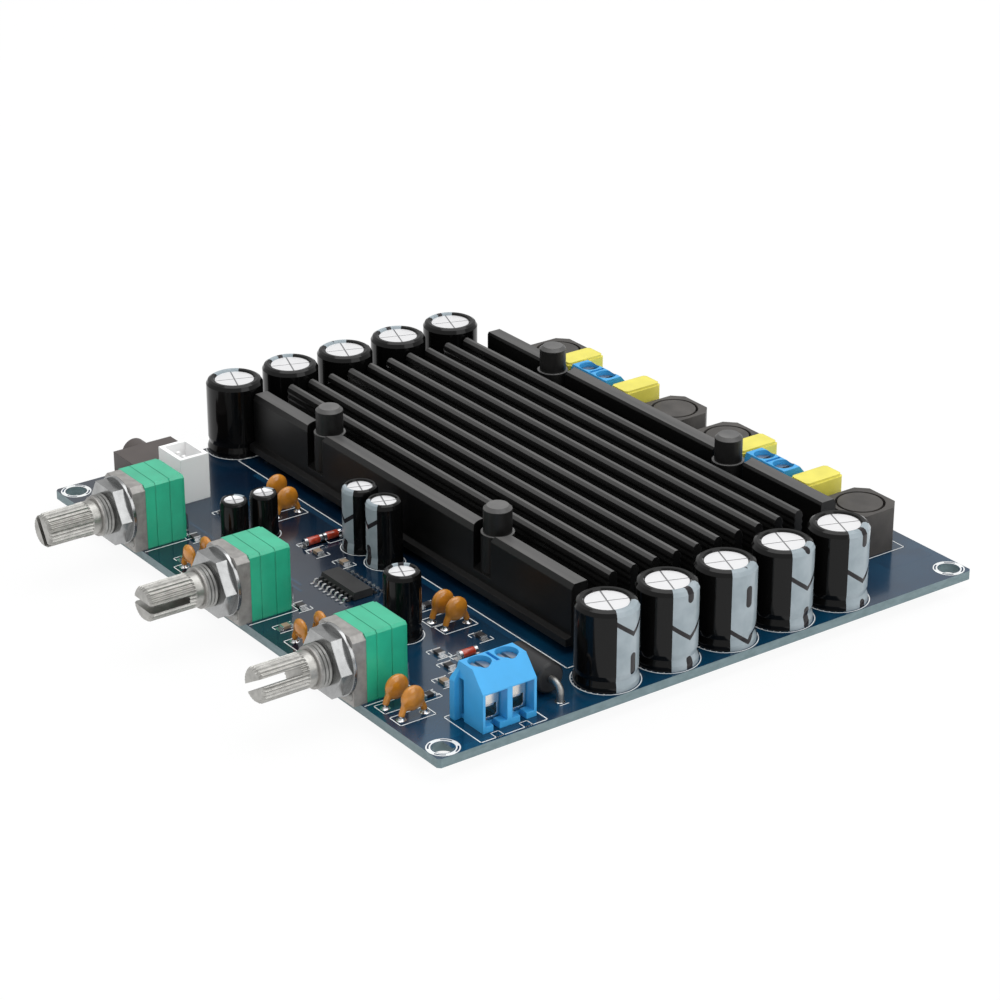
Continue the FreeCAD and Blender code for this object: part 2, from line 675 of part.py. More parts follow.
def terminal(label, x, y, turn):
    """Two-pole terminal: local +X is the wire side, back face at local x = 0."""
    global terminal_number
    depth = size("terminal_depth")
    high = size("terminal_height")
    half = size("pole_pitch")
    body = keep(new_body(label, x, y, board_top, turn))
    sketch = new_sketch(body, "XZ_Plane", -half)
    add_polygon(sketch, [
        (0, 0), (depth, 0), (depth, size("terminal_front_height")),
        (depth - size("terminal_front_slope"), high), (size("terminal_back_slope"), high),
        (0, size("terminal_back_height"))])
    pad(body, sketch, half * 2)
    poles = (-half / 2, half / 2)
    wide = size("window_width") / 2
    sill = size("window_sill")
    # wire windows in the front wall, the taller cage rooms behind them
    sketch = new_sketch(body, "YZ_Plane", depth)
    for pole in poles:
        add_box(sketch, pole - wide, pole + wide, sill, size("window_top"))
    pocket(body, sketch, depth - size("cavity_back"))
    sketch = new_sketch(body, "YZ_Plane", depth - size("window_lintel"))
    for pole in poles:
        add_box(sketch, pole - wide, pole + wide, size("cavity_bottom"), size("cavity_top"))
    pocket(body, sketch, depth - size("window_lintel") - size("cavity_back"))
    # driver wells above the screws and the groove between them
    sketch = new_sketch(body, "XY_Plane", high)
    for pole in poles:
        add_circle(sketch, size("screw_line"), pole, size("screw_well_radius"))
    pocket(body, sketch, high - size("cavity_top") + 0.1)
    sketch = new_sketch(body, "XY_Plane", high)
    add_box(sketch, size("terminal_back_slope") + 0.2,
            size("terminal_back_slope") + size("top_groove_length"),
            -size("top_groove_width") / 2, size("top_groove_width") / 2)
    pocket(body, sketch, size("top_groove_depth"))
    # a gap through the sill below each window, and the joining groove in one end
    sketch = new_sketch(body, "YZ_Plane", depth)
    gap = size("foot_gap_width") / 2
    for pole in poles:
        add_box(sketch, pole - gap, pole + gap, -0.1, sill + 0.1)
    pocket(body, sketch, size("window_lintel") + 0.1)
    sketch = new_sketch(body, "XZ_Plane", half)
    middle = depth * 0.24
    key = size("key_width") / 2
    add_box(sketch, middle - key, middle + key, -0.1, size("terminal_back_height"))
    pocket(body, sketch, size("key_depth"))
    # the rib that joins the next terminal, sloped off at its top
    rib = size("joining_rib_width")
    reach = size("joining_rib_reach")
    rib_high = size("joining_rib_height") + size("joining_rib_slope")
    back_run = size("terminal_back_slope") / (high - size("terminal_back_height"))
    sketch = new_sketch(body, "XZ_Plane", half)
    add_polygon(sketch, [
        (0, 0), (rib, 0), (rib, rib_high),
        (back_run * (rib_high - size("terminal_back_height")), rib_high),
        (0, size("terminal_back_height"))])
    pad(body, sketch, reach)
    sketch = new_sketch(body, "YZ_Plane", rib)
    add_polygon(sketch, [
        (-half, rib_high), (-half - reach, size("joining_rib_height")),
        (-half - reach - 0.1, size("joining_rib_height")), (-half - reach - 0.1, rib_high + 0.1),
        (-half, rib_high + 0.1)])
    pocket(body, sketch, rib)
    for pole in poles:
        terminal_number += 1
        if turn == 0:
            spot = (x + size("screw_line"), y + pole)
            spot_tab = (x, y + pole)
        else:
            spot = (x - pole, y + size("screw_line"))
            spot_tab = (x - pole, y)
        screw = keep(new_body("terminal_screw_%d" % terminal_number, spot[0], spot[1], board_top, turn))
        under = size("cavity_top") + 0.15
        head = size("clamp_head_radius")
        cap = under + size("clamp_head_height")
        shank = size("clamp_shank_radius")
        sketch = new_sketch(screw, "XZ_Plane")
        add_polygon(sketch, [
            (0, under - size("clamp_shank_length")), (shank, under - size("clamp_shank_length")),
            (shank, under), (head, under), (head, cap - 0.15), (head - 0.15, cap), (0, cap)])
        turn_around(screw, sketch)
        sketch = new_sketch(screw, "XY_Plane", cap)
        add_box(sketch, -head - 0.1, head + 0.1, -size("clamp_slot_width") / 2,
                size("clamp_slot_width") / 2)
        pocket(screw, sketch, size("clamp_slot_depth"))
        cage = keep(new_body("terminal_cage_%d" % terminal_number, spot_tab[0], spot_tab[1],
                             board_top, turn))
        wide_cage = size("cage_width") / 2
        long_cage = (depth - size("window_lintel") - size("cage_front_gap")
                     - size("cage_start"))
        low = size("cage_bottom")
        floor = low + size("cage_floor")
        ceiling = floor + size("cage_opening")
        roof = ceiling + size("cage_roof")
        sketch = new_sketch(cage, "YZ_Plane", size("cage_start"))
        add_polygon(sketch, [
            (0.5 - wide_cage, low), (wide_cage - 0.5, low), (wide_cage, low + 0.5),
            (wide_cage, roof), (-wide_cage, roof), (-wide_cage, low + 0.5)])
        pad(cage, sketch, long_cage)
        sketch = new_sketch(cage, "YZ_Plane", size("cage_start") + long_cage)
        clear = wide_cage - size("cage_side")
        add_polygon(sketch, [
            (0.35 - clear, floor), (clear - 0.35, floor), (clear, floor + 0.35),
            (clear, ceiling), (-clear, ceiling), (-clear, floor + 0.35)])
        pocket(cage, sketch, long_cage)
        sketch = new_sketch(cage, "XY_Plane", roof)
        add_circle(sketch, size("screw_line"), 0, shank + size("thread_fit"))
        pocket(cage, sketch, size("cage_roof"))
        tab = new_body("tab_%d" % terminal_number, spot_tab[0], spot_tab[1], board_top, turn)
        tab_high = ceiling - size("tab_drop")
        sketch = new_sketch(tab, "YZ_Plane", size("cavity_back"))
        add_box(sketch, -size("tab_width") / 2, size("tab_width") / 2,
                tab_high - size("tab_thickness"), tab_high)
        pad(tab, sketch, long_cage + size("cage_start") - size("cavity_back") - 0.3)
        tabs.append(tab)
    return body


terminal("power_terminal", half_length - size("supply_terminal_front") - size("terminal_depth"),
         front_y + size("supply_terminal_setback"), 0)
speaker_y = sink_back + size("speaker_terminal_gap")
terminal("speaker_terminal_1", size("speaker_terminal_x") - size("channel_pitch"), speaker_y, 90)
terminal("speaker_terminal_2", size("speaker_terminal_x"), speaker_y, 90)
group("terminal_tabs", tabs)

# potentiometers: frame with threaded bushing, sectioned rear, slotted shaft
washers = []
nuts = []
turn_angles = (60, 0, -30)
# the slot is cut across the shaft clear of the turned face's seam
slot_skew = 52.5
for number in (1, 2, 3):
    x = size("pot_middle_x") + size("pot_pitch") * (number - 2)
    y = -half_width - size("pot_overhang")
    half = size("pot_width") / 2
    axis_z = size("shaft_height")
    high = size("pot_height")
    thick = size("pot_frame_thickness")
    frame_body = keep(new_body("pot_frame_%d" % number, x, y, board_top))
    sketch = new_sketch(frame_body, "XZ_Plane", -thick)
    add_clipped_box(sketch, half, term(0), high, size("pot_frame_corner"))
    pad(frame_body, sketch, thick)
    sketch = new_sketch(frame_body, "XZ_Plane")
    add_circle(sketch, 0, axis_z, size("bush_radius"))
    pad(frame_body, sketch, size("bush_length"))
    sketch = new_sketch(frame_body, "XZ_Plane", size("bush_length"))
    add_circle(sketch, 0, axis_z, size("shaft_neck_radius") + size("shaft_fit"))
    pocket(frame_body, sketch, size("bush_length") + thick)
    rear = keep(new_body("pot_rear_%d" % number, x, y, board_top))
    start = thick
    deep = size("pot_rear_depth")
    notch = size("pot_rear_step")
    seam = size("pot_seam")
    sections = ((deep * 0.27 - seam, 0), (seam, notch), (deep * 0.36 - seam, 0), (seam, notch),
                (deep * 0.31, 0), (deep * 0.06, notch * 2))
    for run, inset in sections:
        sketch = new_sketch(rear, "XZ_Plane", -start - run)
        add_clipped_box(sketch, half - 0.1 - inset, term(0), high - inset, size("pot_frame_corner") / 2)
        pad(rear, sketch, run)
        start = start + run
    shaft = keep(new_body("pot_shaft_%d" % number, x, y, board_top + axis_z,
                          turn_angles[number - 1] + slot_skew, (0, 1, 0)))
    inside = thick - size("shaft_fit")
    sketch = new_sketch(shaft, "XY_Plane")
    tip = size("shaft_reach")
    full = size("shaft_radius")
    bevel = size("shaft_edge")
    neck = size("shaft_neck_radius")
    shoulder = -size("bush_length") - size("shaft_neck_gap")
    add_polygon(sketch, [
        (0, inside), (neck, inside), (neck, shoulder), (full, shoulder),
        (full, bevel - tip), (full - bevel, -tip), (0, -tip)])
    turn_around(shaft, sketch)
    sketch = new_sketch(shaft, "XZ_Plane", tip)
    lean, rise = math.cos(math.radians(slot_skew)), math.sin(math.radians(slot_skew))
    run, gap = full + 0.2, size("shaft_slot_width") / 2
    add_polygon(sketch, [
        (run * a * lean - gap * b * rise, run * a * rise + gap * b * lean)
        for a, b in ((-1, -1), (1, -1), (1, 1), (-1, 1))])
    pocket(shaft, sketch, size("shaft_slot_depth"))
    washer = new_body("washer_%d" % number, x, y, board_top + axis_z)
    sketch = new_sketch(washer, "XZ_Plane")
    add_circle(sketch, 0, 0, size("washer_radius"))
    add_circle(sketch, 0, 0, size("bush_radius") + size("thread_fit"))
    pad(washer, sketch, size("washer_thickness"))
    washers.append(washer)
    nut = new_body("nut_%d" % number, x, y, board_top + axis_z)
    sketch = new_sketch(nut, "XZ_Plane", size("washer_thickness"))
    add_hexagon(sketch, term(0), term(0), size("nut_size"))
    add_circle(sketch, 0, 0, size("bush_radius") + size("thread_fit"))
    pad(nut, sketch, size("nut_thickness"))
    nuts.append(nut)
group("pot_washers", washers)
group("pot_nuts", nuts)

# audio jack: low box at the board's left edge with a round barrel through that edge
jack = keep(new_body("audio_jack", size("jack_edge_inset") - half_length, front_y + size("jack_setback"), board_top))
half = size("jack_width") / 2
sketch = new_sketch(jack, "XY_Plane")
add_polygon(sketch, [
    (0, -half), (size("jack_depth"), -half), (size("jack_depth"), half), (0, half)])
pad(jack, sketch, size("jack_height"))
sketch = new_sketch(jack, "YZ_Plane")
add_circle(sketch, 0, size("jack_height") / 2, size("jack_barrel_radius"))
pad(jack, sketch, size("jack_barrel_length"), back=True)
sketch = new_sketch(jack, "YZ_Plane", -size("jack_barrel_length"))
add_circle(sketch, 0, size("jack_height") / 2, size("jack_bore_radius"))
pocket(jack, sketch, size("jack_bore_depth"), back=True)

# white wire connector: open-top box with three upright pins
half_a = size("connector_length") / 2
connector_x = (size("jack_edge_inset") + size("jack_depth") + size("connector_gap") + half_a
               - half_length)
connector = keep(new_body("signal_connector", connector_x,
                          front_y + size("connector_setback"), board_top))
half_b = size("connector_width") / 2
wall = size("connector_wall")
sketch = new_sketch(connector, "XY_Plane")
add_box(sketch, -half_a, half_a, -half_b, half_b)
pad(connector, sketch, size("connector_height"))
sketch = new_sketch(connector, "XY_Plane", size("connector_height"))
add_box(sketch, wall - half_a, half_a - wall, wall - half_b, half_b - wall)
pocket(connector, sketch, size("connector_height") - size("connector_floor"))
sketch = new_sketch(connector, "XY_Plane", size("connector_floor"))
for spot in (-1, 0, 1):
    middle = size("connector_pin_pitch") * spot * 0.8
    pin = size("connector_pin") / 2
    add_box(sketch, middle - pin, middle + pin, -pin, pin)
pad(connector, sketch, size("connector_height") - size("connector_floor") - 1.2)

# power diode lying along X with both leads bent down to the board
diode = doc.addObject("Part::Feature", "rectifier_diode")
diode.Label = "rectifier_diode"
wire = size("diode_lead_radius").value
body_r = size("diode_radius").value
axis_z = body_r + size("diode_lift").value
half = size("diode_length").value / 2
bend = size("diode_bend").value
shape = Part.makeCylinder(
    body_r, half * 2, FreeCAD.Vector(-half, 0, axis_z), FreeCAD.Vector(1, 0, 0))
shape = shape.makeChamfer(0.3, [e for e in shape.Edges if e.Closed and len(e.Vertexes) == 1
                                and isinstance(e.Curve, Part.Circle)])
for way in (-1, 1):
    start = FreeCAD.Vector(way * (half - 0.5), 0, axis_z)
    turn_in = FreeCAD.Vector(way * (half + 1.0), 0, axis_z)
    knee = FreeCAD.Vector(way * (half + 1.0 + bend * math.sin(math.pi / 4)), 0,
                          axis_z - bend * (1 - math.cos(math.pi / 4)))
    turn_out = FreeCAD.Vector(way * (half + 1.0 + bend), 0, axis_z - bend)
    foot = FreeCAD.Vector(way * (half + 1.0 + bend), 0, 0)
    path = Part.Wire([
        Part.LineSegment(start, turn_in).toShape(),
        Part.Arc(turn_in, knee, turn_out).toShape(),
        Part.LineSegment(turn_out, foot).toShape()])
    ring = Part.Wire([Part.makeCircle(wire, start, FreeCAD.Vector(1, 0, 0))])
    shape = shape.fuse(path.makePipeShell([ring], True, False))
diode.Shape = shape.removeSplitter()
diode.Placement = FreeCAD.Placement(
    FreeCAD.Vector((half_length - size("diode_inset")).value,
                   (front_y + size("diode_setback")).value, board_top.value), FreeCAD.Rotation())
keep(diode)


def disc(label, x, y, turn=0):
    """Dipped disc capacitor: lens body with two coated legs, spread along Y or, turned, along X."""
    body = new_body(label, x, y, board_top, turn)
    kind = "small_disc_" if turn else "disc_"
    radius = size(kind + "radius")
    thin = size("disc_thickness") / 2
    middle = size("disc_middle_height")
    foot_y = size(kind + "foot_reach")
    foot_r = size("disc_foot_radius")
    sketch = new_sketch(body, "YZ_Plane", -foot_r)
    for way in (-1, 1):
        add_polygon(sketch, [(a * way, b) for a, b in (
            (foot_y - foot_r, 0), (foot_y + foot_r, 0), (foot_y + foot_r * 0.8, middle * 0.35),
            (radius * 0.98, middle), (radius * 0.6, middle + 0.2), (radius * 0.45, middle * 0.4))])
    pad(body, sketch, foot_r * 2)
    start = -thin
    for share, reach in ((0.12, 0.62), (0.18, 0.88), (0.4, 1.0), (0.18, 0.88), (0.12, 0.62)):
        sketch = new_sketch(body, "YZ_Plane", start)
        add_circle(sketch, 0, middle, radius * reach)
        pad(body, sketch, thin * 2 * share)
        start = start + thin * 2 * share
    return body


discs = []
for number, (x, setback, turned) in enumerate((
        (42.0, 4.7, 0), (46.5, 4.6, 0), (16.7, 3.2, 90), (16.3, 7.3, 90), (-17.4, 2.7, 90),
        (-18.5, 6.7, 90), (22.2, 27.2, 0), (25.6, 27.5, 0), (-32.4, 29.5, 0),
        (-26.8, 28.2, 0)), start=1):
    discs.append(disc("disc_%d" % number, x, front_y + setback, turned))
group("ceramic_capacitors", discs)

# small surface parts: rectangular chips and glass diodes
small = []
for number, (x, setback, turned) in enumerate((
        (31.2, 28.4, 0), (32.0, 19.6, 0), (36.6, 18.4, 0), (40.4, 14.8, 0),
        (9.8, 4.6, 90), (-21.8, 4.6, 90), (-10.5, 24.0, 0), (-4.5, 25.4, 0),
        (5.0, 10.6, 0), (13.6, 14.4, 90), (-28.0, 10.0, 0), (17.0, 27.6, 90),
        (42.6, 10.2, 90), (-33.4, 19.0, 0)), start=1):
    y = front_y + setback
    block = doc.addObject("Part::Box", "chip_part_%d" % number)
    long, wide = size("chip_part_length"), size("chip_part_width")
    if turned:
        long, wide = wide, long
    bind(block, "Length", long)
    bind(block, "Width", wide)
    bind(block, "Height", size("chip_part_height"))
    block.Placement = FreeCAD.Placement(
        FreeCAD.Vector(x - long.value / 2, (y - wide / 2).value, board_top.value), FreeCAD.Rotation())
    bind(block, "Placement.Base.x", x - long / 2)
    bind(block, "Placement.Base.y", y - wide / 2)
    bind(block, "Placement.Base.z", board_top)
    small.append(block)
for number, (x, setback) in enumerate(((35.4, 22.8), (-14.0, 29.0), (-14.0, 25.2)), start=1):
    y = front_y + setback
    tube = doc.addObject("Part::Cylinder", "glass_diode_%d" % number)
    bind(tube, "Radius", size("glass_diode_radius"))
    bind(tube, "Height", size("glass_diode_length"))
    tube.Placement = FreeCAD.Placement(
        FreeCAD.Vector(x, (y - size("glass_diode_length") / 2).value,
                       board_top.value + size("glass_diode_radius").value),
        FreeCAD.Rotation(FreeCAD.Vector(1, 0, 0), -90))
    bind(tube, "Placement.Base.y", y - size("glass_diode_length") / 2)
    bind(tube, "Placement.Base.z", board_top + size("glass_diode_radius"))
    small.append(tube)
group("surface_mount_parts", small)

doc.recompute()
for thing in doc.Objects:
    if "Invalid" in thing.State or "Error" in thing.State:
        raise RuntimeError("object failed: %s %s" % (thing.Name, thing.State))
labels = [thing.Label for thing in nodes]
if len(set(labels)) != len(labels):
    raise RuntimeError("two nodes share a label")
for thing in nodes:
    if thing.Shape.isNull() or not thing.Shape.isValid() or not thing.Shape.Solids:
        raise RuntimeError("bad shape: " + thing.Label)
for thing in nodes:
    thing.Shape.exportStep("parts/%s.step" % thing.Label)
print("%d sub-parts written" % len(nodes))
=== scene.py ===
import math
import bmesh
import bpy
from mathutils import Matrix, Vector


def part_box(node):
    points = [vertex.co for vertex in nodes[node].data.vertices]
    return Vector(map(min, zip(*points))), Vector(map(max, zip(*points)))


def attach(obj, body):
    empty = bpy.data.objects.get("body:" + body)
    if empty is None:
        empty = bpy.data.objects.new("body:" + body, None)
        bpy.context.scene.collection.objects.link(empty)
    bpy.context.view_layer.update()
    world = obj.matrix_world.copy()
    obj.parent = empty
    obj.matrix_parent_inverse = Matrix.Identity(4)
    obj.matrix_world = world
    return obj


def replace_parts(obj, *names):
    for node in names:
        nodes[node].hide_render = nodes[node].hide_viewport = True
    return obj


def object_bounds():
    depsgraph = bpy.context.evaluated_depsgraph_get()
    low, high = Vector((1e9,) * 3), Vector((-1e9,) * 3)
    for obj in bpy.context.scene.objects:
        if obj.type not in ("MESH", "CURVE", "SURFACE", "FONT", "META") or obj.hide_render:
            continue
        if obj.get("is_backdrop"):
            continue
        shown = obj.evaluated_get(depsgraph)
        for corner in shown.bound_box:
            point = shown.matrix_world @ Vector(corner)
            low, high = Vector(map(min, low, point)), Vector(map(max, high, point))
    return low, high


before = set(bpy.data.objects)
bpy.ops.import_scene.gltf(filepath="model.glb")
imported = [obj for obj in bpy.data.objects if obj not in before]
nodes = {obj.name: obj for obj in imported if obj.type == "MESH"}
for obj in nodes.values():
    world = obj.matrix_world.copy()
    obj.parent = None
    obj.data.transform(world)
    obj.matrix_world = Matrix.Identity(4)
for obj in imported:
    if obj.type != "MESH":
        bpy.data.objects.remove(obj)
cad_low, cad_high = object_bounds()
MM = 0.001
BOARD = "board"
TERMINALS = ["power_terminal", "speaker_terminal_1", "speaker_terminal_2"]

# The board's upper face and its edges, and the thin layers that lie on it.
board_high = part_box("circuit_board")[1]
top = board_high.z / MM
edge_x = board_high.x / MM
edge_y = board_high.y / MM
TRACK_LEVEL = top + 0.008
PRINT_LEVEL = top + 0.02
PAD_LEVEL = top + 0.03


class Paint:
    """A node material: one Principled shader and short calls that add to it."""

    def __init__(self, name, colour, roughness=0.5, metallic=0.0, coat=0.0, specular=0.5):
        self.material = bpy.data.materials.new(name)
        self.material.use_nodes = True
        self.tree = self.material.node_tree
        self.shader = next(n for n in self.tree.nodes if n.type == "BSDF_PRINCIPLED")
        self.fix("Base Color", (*colour, 1.0))
        self.fix("Roughness", roughness)
        self.fix("Metallic", metallic)
        self.fix("Coat Weight", coat)
        self.fix("Coat Roughness", 0.08)
        self.fix("Specular IOR Level", specular)
        self.place = self.new("ShaderNodeTexCoord").outputs["Object"]
        self.colour = colour
        self.normal = None

    def new(self, kind):
        return self.tree.nodes.new(kind)

    def fix(self, socket, value):
        self.shader.inputs[socket].default_value = value

    def feed(self, output, socket):
        self.tree.links.new(output, self.shader.inputs[socket])

    def put(self, value, socket):
        if isinstance(value, bpy.types.NodeSocket):
            self.tree.links.new(value, socket)
        else:
            socket.default_value = value

    def maths(self, operation, *values):
        step = self.new("ShaderNodeMath")
        step.operation = operation
        for value, socket in zip(values, step.inputs):
            self.put(value, socket)
        return step.outputs[0]

    def mapped(self, stretch=(1, 1, 1), turn=0.0):
        step = self.new("ShaderNodeMapping")
        step.inputs["Scale"].default_value = stretch
        step.inputs["Rotation"].default_value = (0, 0, turn)
        self.tree.links.new(self.place, step.inputs["Vector"])
        return step.outputs[0]

    def noise(self, grain, detail=3.0, stretch=(1, 1, 1)):
        """Cloudy noise whose lumps are about grain millimetres wide."""
        step = self.new("ShaderNodeTexNoise")
        step.inputs["Scale"].default_value = 1.0 / (grain * MM)
        step.inputs["Detail"].default_value = detail
        self.tree.links.new(self.mapped(stretch), step.inputs["Vector"])
        return step.outputs[0]

    def blend(self, factor, a, b):
        step = self.new("ShaderNodeMix")
        step.data_type = "RGBA"
        self.put(factor, step.inputs[0])
        for value, socket in ((a, step.inputs[6]), (b, step.inputs[7])):
            self.put((*value, 1.0) if isinstance(value, tuple) else value, socket)
        return step.outputs[2]

    def between(self, value, low, high):
        """A value carried from the span low..high onto 0..1 and held there."""
        step = self.new("ShaderNodeMapRange")
        step.inputs[1].default_value = low
        step.inputs[2].default_value = high
        self.put(value, step.inputs[0])
        return step.outputs[0]

    def mottle(self, grain, amount, detail=3.0, stretch=(1, 1, 1)):
        """The colour wanders a little between darker and lighter."""
        dark = tuple(c * (1 - amount) for c in self.colour)
        light = tuple(min(1.0, c * (1 + amount)) for c in self.colour)
        cloud = self.between(self.noise(grain, detail, stretch), 0.3, 0.7)
        self.feed(self.blend(cloud, dark, light), "Base Color")
        return self

    def bump(self, height, depth, strength=1.0):
        """Raises the surface by depth millimetres where height is 1."""
        step = self.new("ShaderNodeBump")
        step.inputs["Strength"].default_value = strength
        step.inputs["Distance"].default_value = depth * MM
        self.put(height, step.inputs["Height"])
        if self.normal is not None:
            self.tree.links.new(self.normal, step.inputs["Normal"])
        self.normal = step.outputs[0]
        self.feed(self.normal, "Normal")
        return self

    def soft_edges(self, radius):
        step = self.new("ShaderNodeBevel")
        step.samples = 4
        step.inputs["Radius"].default_value = radius * MM
        self.normal = step.outputs[0]
        self.feed(self.normal, "Normal")
        return self

    def split(self, vector=None):
        step = self.new("ShaderNodeSeparateXYZ")
        self.tree.links.new(vector or self.place, step.inputs[0])
        return step.outputs

    def facing(self):
        """The surface normal along the object's own axes, as three outputs."""
        return self.split(self.new("ShaderNodeTexCoord").outputs["Normal"])


def dress(names, paint):
    for name in names:
        mesh = nodes[name].data
        mesh.materials.clear()
        mesh.materials.append(paint.material)


def numbered(stem):
    return sorted(n for n in nodes if n.startswith(stem))


def solder_mask(paint):
    """Dark blue mask on the faces, bluer towards +X, and pale glass cloth on the cut edges."""
    flat = paint.maths("GREATER_THAN", paint.maths("ABSOLUTE", paint.facing()[2]), 0.5)
    cloud = paint.between(paint.noise(14.0, 2.0), 0.35, 0.7)
    near = paint.between(paint.split()[0], 12 * MM, 56 * MM)
    deep = paint.blend(near, (0.002, 0.010, 0.027), (0.003, 0.029, 0.068))
    clear = paint.blend(near, (0.002, 0.021, 0.048), (0.003, 0.051, 0.108))
    mask = paint.blend(cloud, deep, clear)
    fibres = paint.between(paint.noise(1.6, 3.0, (1, 1, 2.5)), 0.3, 0.7)
    cloth = paint.blend(fibres, (0.115, 0.180, 0.195), (0.165, 0.240, 0.260))
    paint.feed(paint.blend(flat, cloth, mask), "Base Color")
    paint.feed(paint.maths("MULTIPLY_ADD", flat, -0.42, 0.6), "Roughness")
    weave = paint.new("ShaderNodeTexBrick")
    weave.inputs["Scale"].default_value = 1.0 / (1.1 * MM)
    paint.tree.links.new(paint.place, weave.inputs["Vector"])
    paint.bump(weave.outputs["Fac"], 0.004, 0.25)
    paint.bump(paint.noise(5.0, 2.0), 0.02, 0.25)
    return paint


SLEEVE_BLACK = (0.003, 0.003, 0.003)
MARK_BLACK = (0.02, 0.018, 0.02)
ARM_SLOPE = 0.73
ARM_OFFSETS = (0.0, 13.3)
ARM_HALF_WIDTH = 0.44
BAR_OFFSETS = (-5.2, 8.1)
BAR_HALF_RUN = 1.25
BAR_HALF_WIDTH = 0.66


def stripe_marks(paint, arc, level, mark_height):
    """Where a stripe is dark: rising arms from its middle, and rounded bars between them."""
    dark = 0.0
    slope = paint.maths("MULTIPLY", arc, ARM_SLOPE)
    for offset in ARM_OFFSETS:
        rise = paint.maths("ADD", slope, mark_height + offset)
        arm = paint.maths("ABSOLUTE", paint.maths("SUBTRACT", level, rise))
        dark = paint.maths("MAXIMUM", dark, paint.maths("LESS_THAN", arm, ARM_HALF_WIDTH))
    for offset in BAR_OFFSETS:
        away = paint.maths("ABSOLUTE", paint.maths("SUBTRACT", level, mark_height + offset))
        reach = paint.maths("MAXIMUM", paint.maths("SUBTRACT", away, BAR_HALF_RUN), 0.0)
        gap = length_of(paint, reach, arc)
        dark = paint.maths("MAXIMUM", dark, paint.maths("LESS_THAN", gap, BAR_HALF_WIDTH))
    return dark


def length_of(paint, a, b):
    squares = paint.maths("ADD", paint.maths("MULTIPLY", a, a), paint.maths("MULTIPLY", b, b))
    return paint.maths("SQRT", squares)


def pressed_cross(paint, x, y):
    """1 on the end disc, falling to 0 along two crossed grooves."""
    c, s = 0.94, 0.34
    first = paint.maths("SUBTRACT", paint.maths("MULTIPLY", x, c), paint.maths("MULTIPLY", y, s))
    second = paint.maths("ADD", paint.maths("MULTIPLY", x, s), paint.maths("MULTIPLY", y, c))
    nearest = paint.maths("MINIMUM", paint.maths("ABSOLUTE", first),
                          paint.maths("ABSOLUTE", second))
    return paint.between(paint.maths("DIVIDE", nearest, MM), 0.05, 0.16)


def sleeve(name, low, high, stripe_turn, mark_height, stripe_share=0.2, marks=True):
    """Shrink sleeve of one can: black, a pale stripe with dark marks, bare metal end disc with
    painted shade in its crossed grooves.
    """
    paint = Paint(name, SLEEVE_BLACK, 0.09, specular=0.24)
    radius = (high.x - low.x) / 2 / MM
    centre = paint.new("ShaderNodeVectorMath")
    centre.operation = "SUBTRACT"
    centre.inputs[1].default_value = ((low.x + high.x) / 2, (low.y + high.y) / 2, low.z)
    paint.tree.links.new(paint.place, centre.inputs[0])
    x, y, z = paint.split(centre.outputs[0])
    c, s = math.cos(stripe_turn), math.sin(stripe_turn)
    ahead = paint.maths("ADD", paint.maths("MULTIPLY", x, c), paint.maths("MULTIPLY", y, s))
    aside = paint.maths("SUBTRACT", paint.maths("MULTIPLY", y, c), paint.maths("MULTIPLY", x, s))
    arc = paint.maths("MULTIPLY", paint.maths("ARCTAN2", aside, ahead), radius)
    arc = paint.maths("ABSOLUTE", arc)
    level = paint.maths("DIVIDE", z, MM)
    stripe = paint.maths("LESS_THAN", arc, math.pi * radius * stripe_share)
    dark = stripe_marks(paint, arc, level, mark_height) if marks else 0.0
    pale = paint.blend(paint.between(paint.noise(3.0), 0.3, 0.7),
                       (0.275, 0.330, 0.360), (0.350, 0.405, 0.440))
    body = paint.blend(stripe, SLEEVE_BLACK, paint.blend(dark, pale, MARK_BLACK))
    facing_up = paint.maths("GREATER_THAN", paint.facing()[2], 0.6)
    away = paint.maths("DIVIDE", length_of(paint, x, y), MM)
    disc = paint.maths("MULTIPLY", facing_up, paint.maths("LESS_THAN", away, radius * 0.665))
    groove = pressed_cross(paint, x, y)
    # painted shade: the crossed grooves of the end disc are painted dark grey
    metal = paint.blend(groove, (0.24, 0.24, 0.25), (0.90, 0.90, 0.91))
    paint.feed(paint.blend(disc, body, metal), "Base Color")
    paint.feed(paint.maths("MULTIPLY", disc, 0.55), "Metallic")
    paint.feed(paint.maths("MULTIPLY_ADD", disc, 0.26, 0.11), "Roughness")
    ripples = paint.maths("MULTIPLY", facing_up, paint.noise(0.8, 2.0))
    paint.bump(ripples, 0.05, 0.5)
    paint.bump(paint.maths("MULTIPLY", disc, groove), 0.12)
    return paint


def cast_metal(name, colour, roughness, grain, depth, metallic=1.0, edge=0.0):
    paint = Paint(name, colour, roughness, metallic)
    if edge:
        paint.soft_edges(edge)
    paint.mottle(grain * 4, 0.16)
    paint.bump(paint.noise(grain, 5.0), depth, 0.6)
    return paint


def moulded(name, colour, roughness=0.4, edge=0.12, amount=0.08, coat=0.0, grain=0.25, depth=0.012):
    paint = Paint(name, colour, roughness, coat=coat)
    if edge:
        paint.soft_edges(edge)
    paint.mottle(4.0, amount)
    paint.bump(paint.noise(grain, 3.0), depth, 0.5)
    return paint


def paint_lit_tops(paint, cloud, flank, lit_top_grey):
    """A black whose high upward faces get a painted highlight: greyer than its flanks and foot, as
    painted top light.
    """
    height = paint.between(paint.split()[2], 6 * MM, 10 * MM)
    # painted top light: upward faces from 6 mm up, fully from 10 mm, are painted greyer as if lit
    # from above
    up = paint.maths("MULTIPLY", height, paint.between(paint.facing()[2], 0.5, 0.85))
    cloud = paint.between(cloud, 0.3, 0.7)
    dark = paint.blend(cloud, (flank * 0.7,) * 3, (flank * 1.3, flank * 1.25, flank * 1.2))
    pale = paint.blend(cloud, (lit_top_grey * 0.75,) * 3, (lit_top_grey * 1.25, lit_top_grey * 1.22, lit_top_grey * 1.2))
    paint.feed(paint.blend(up, dark, pale), "Base Color")


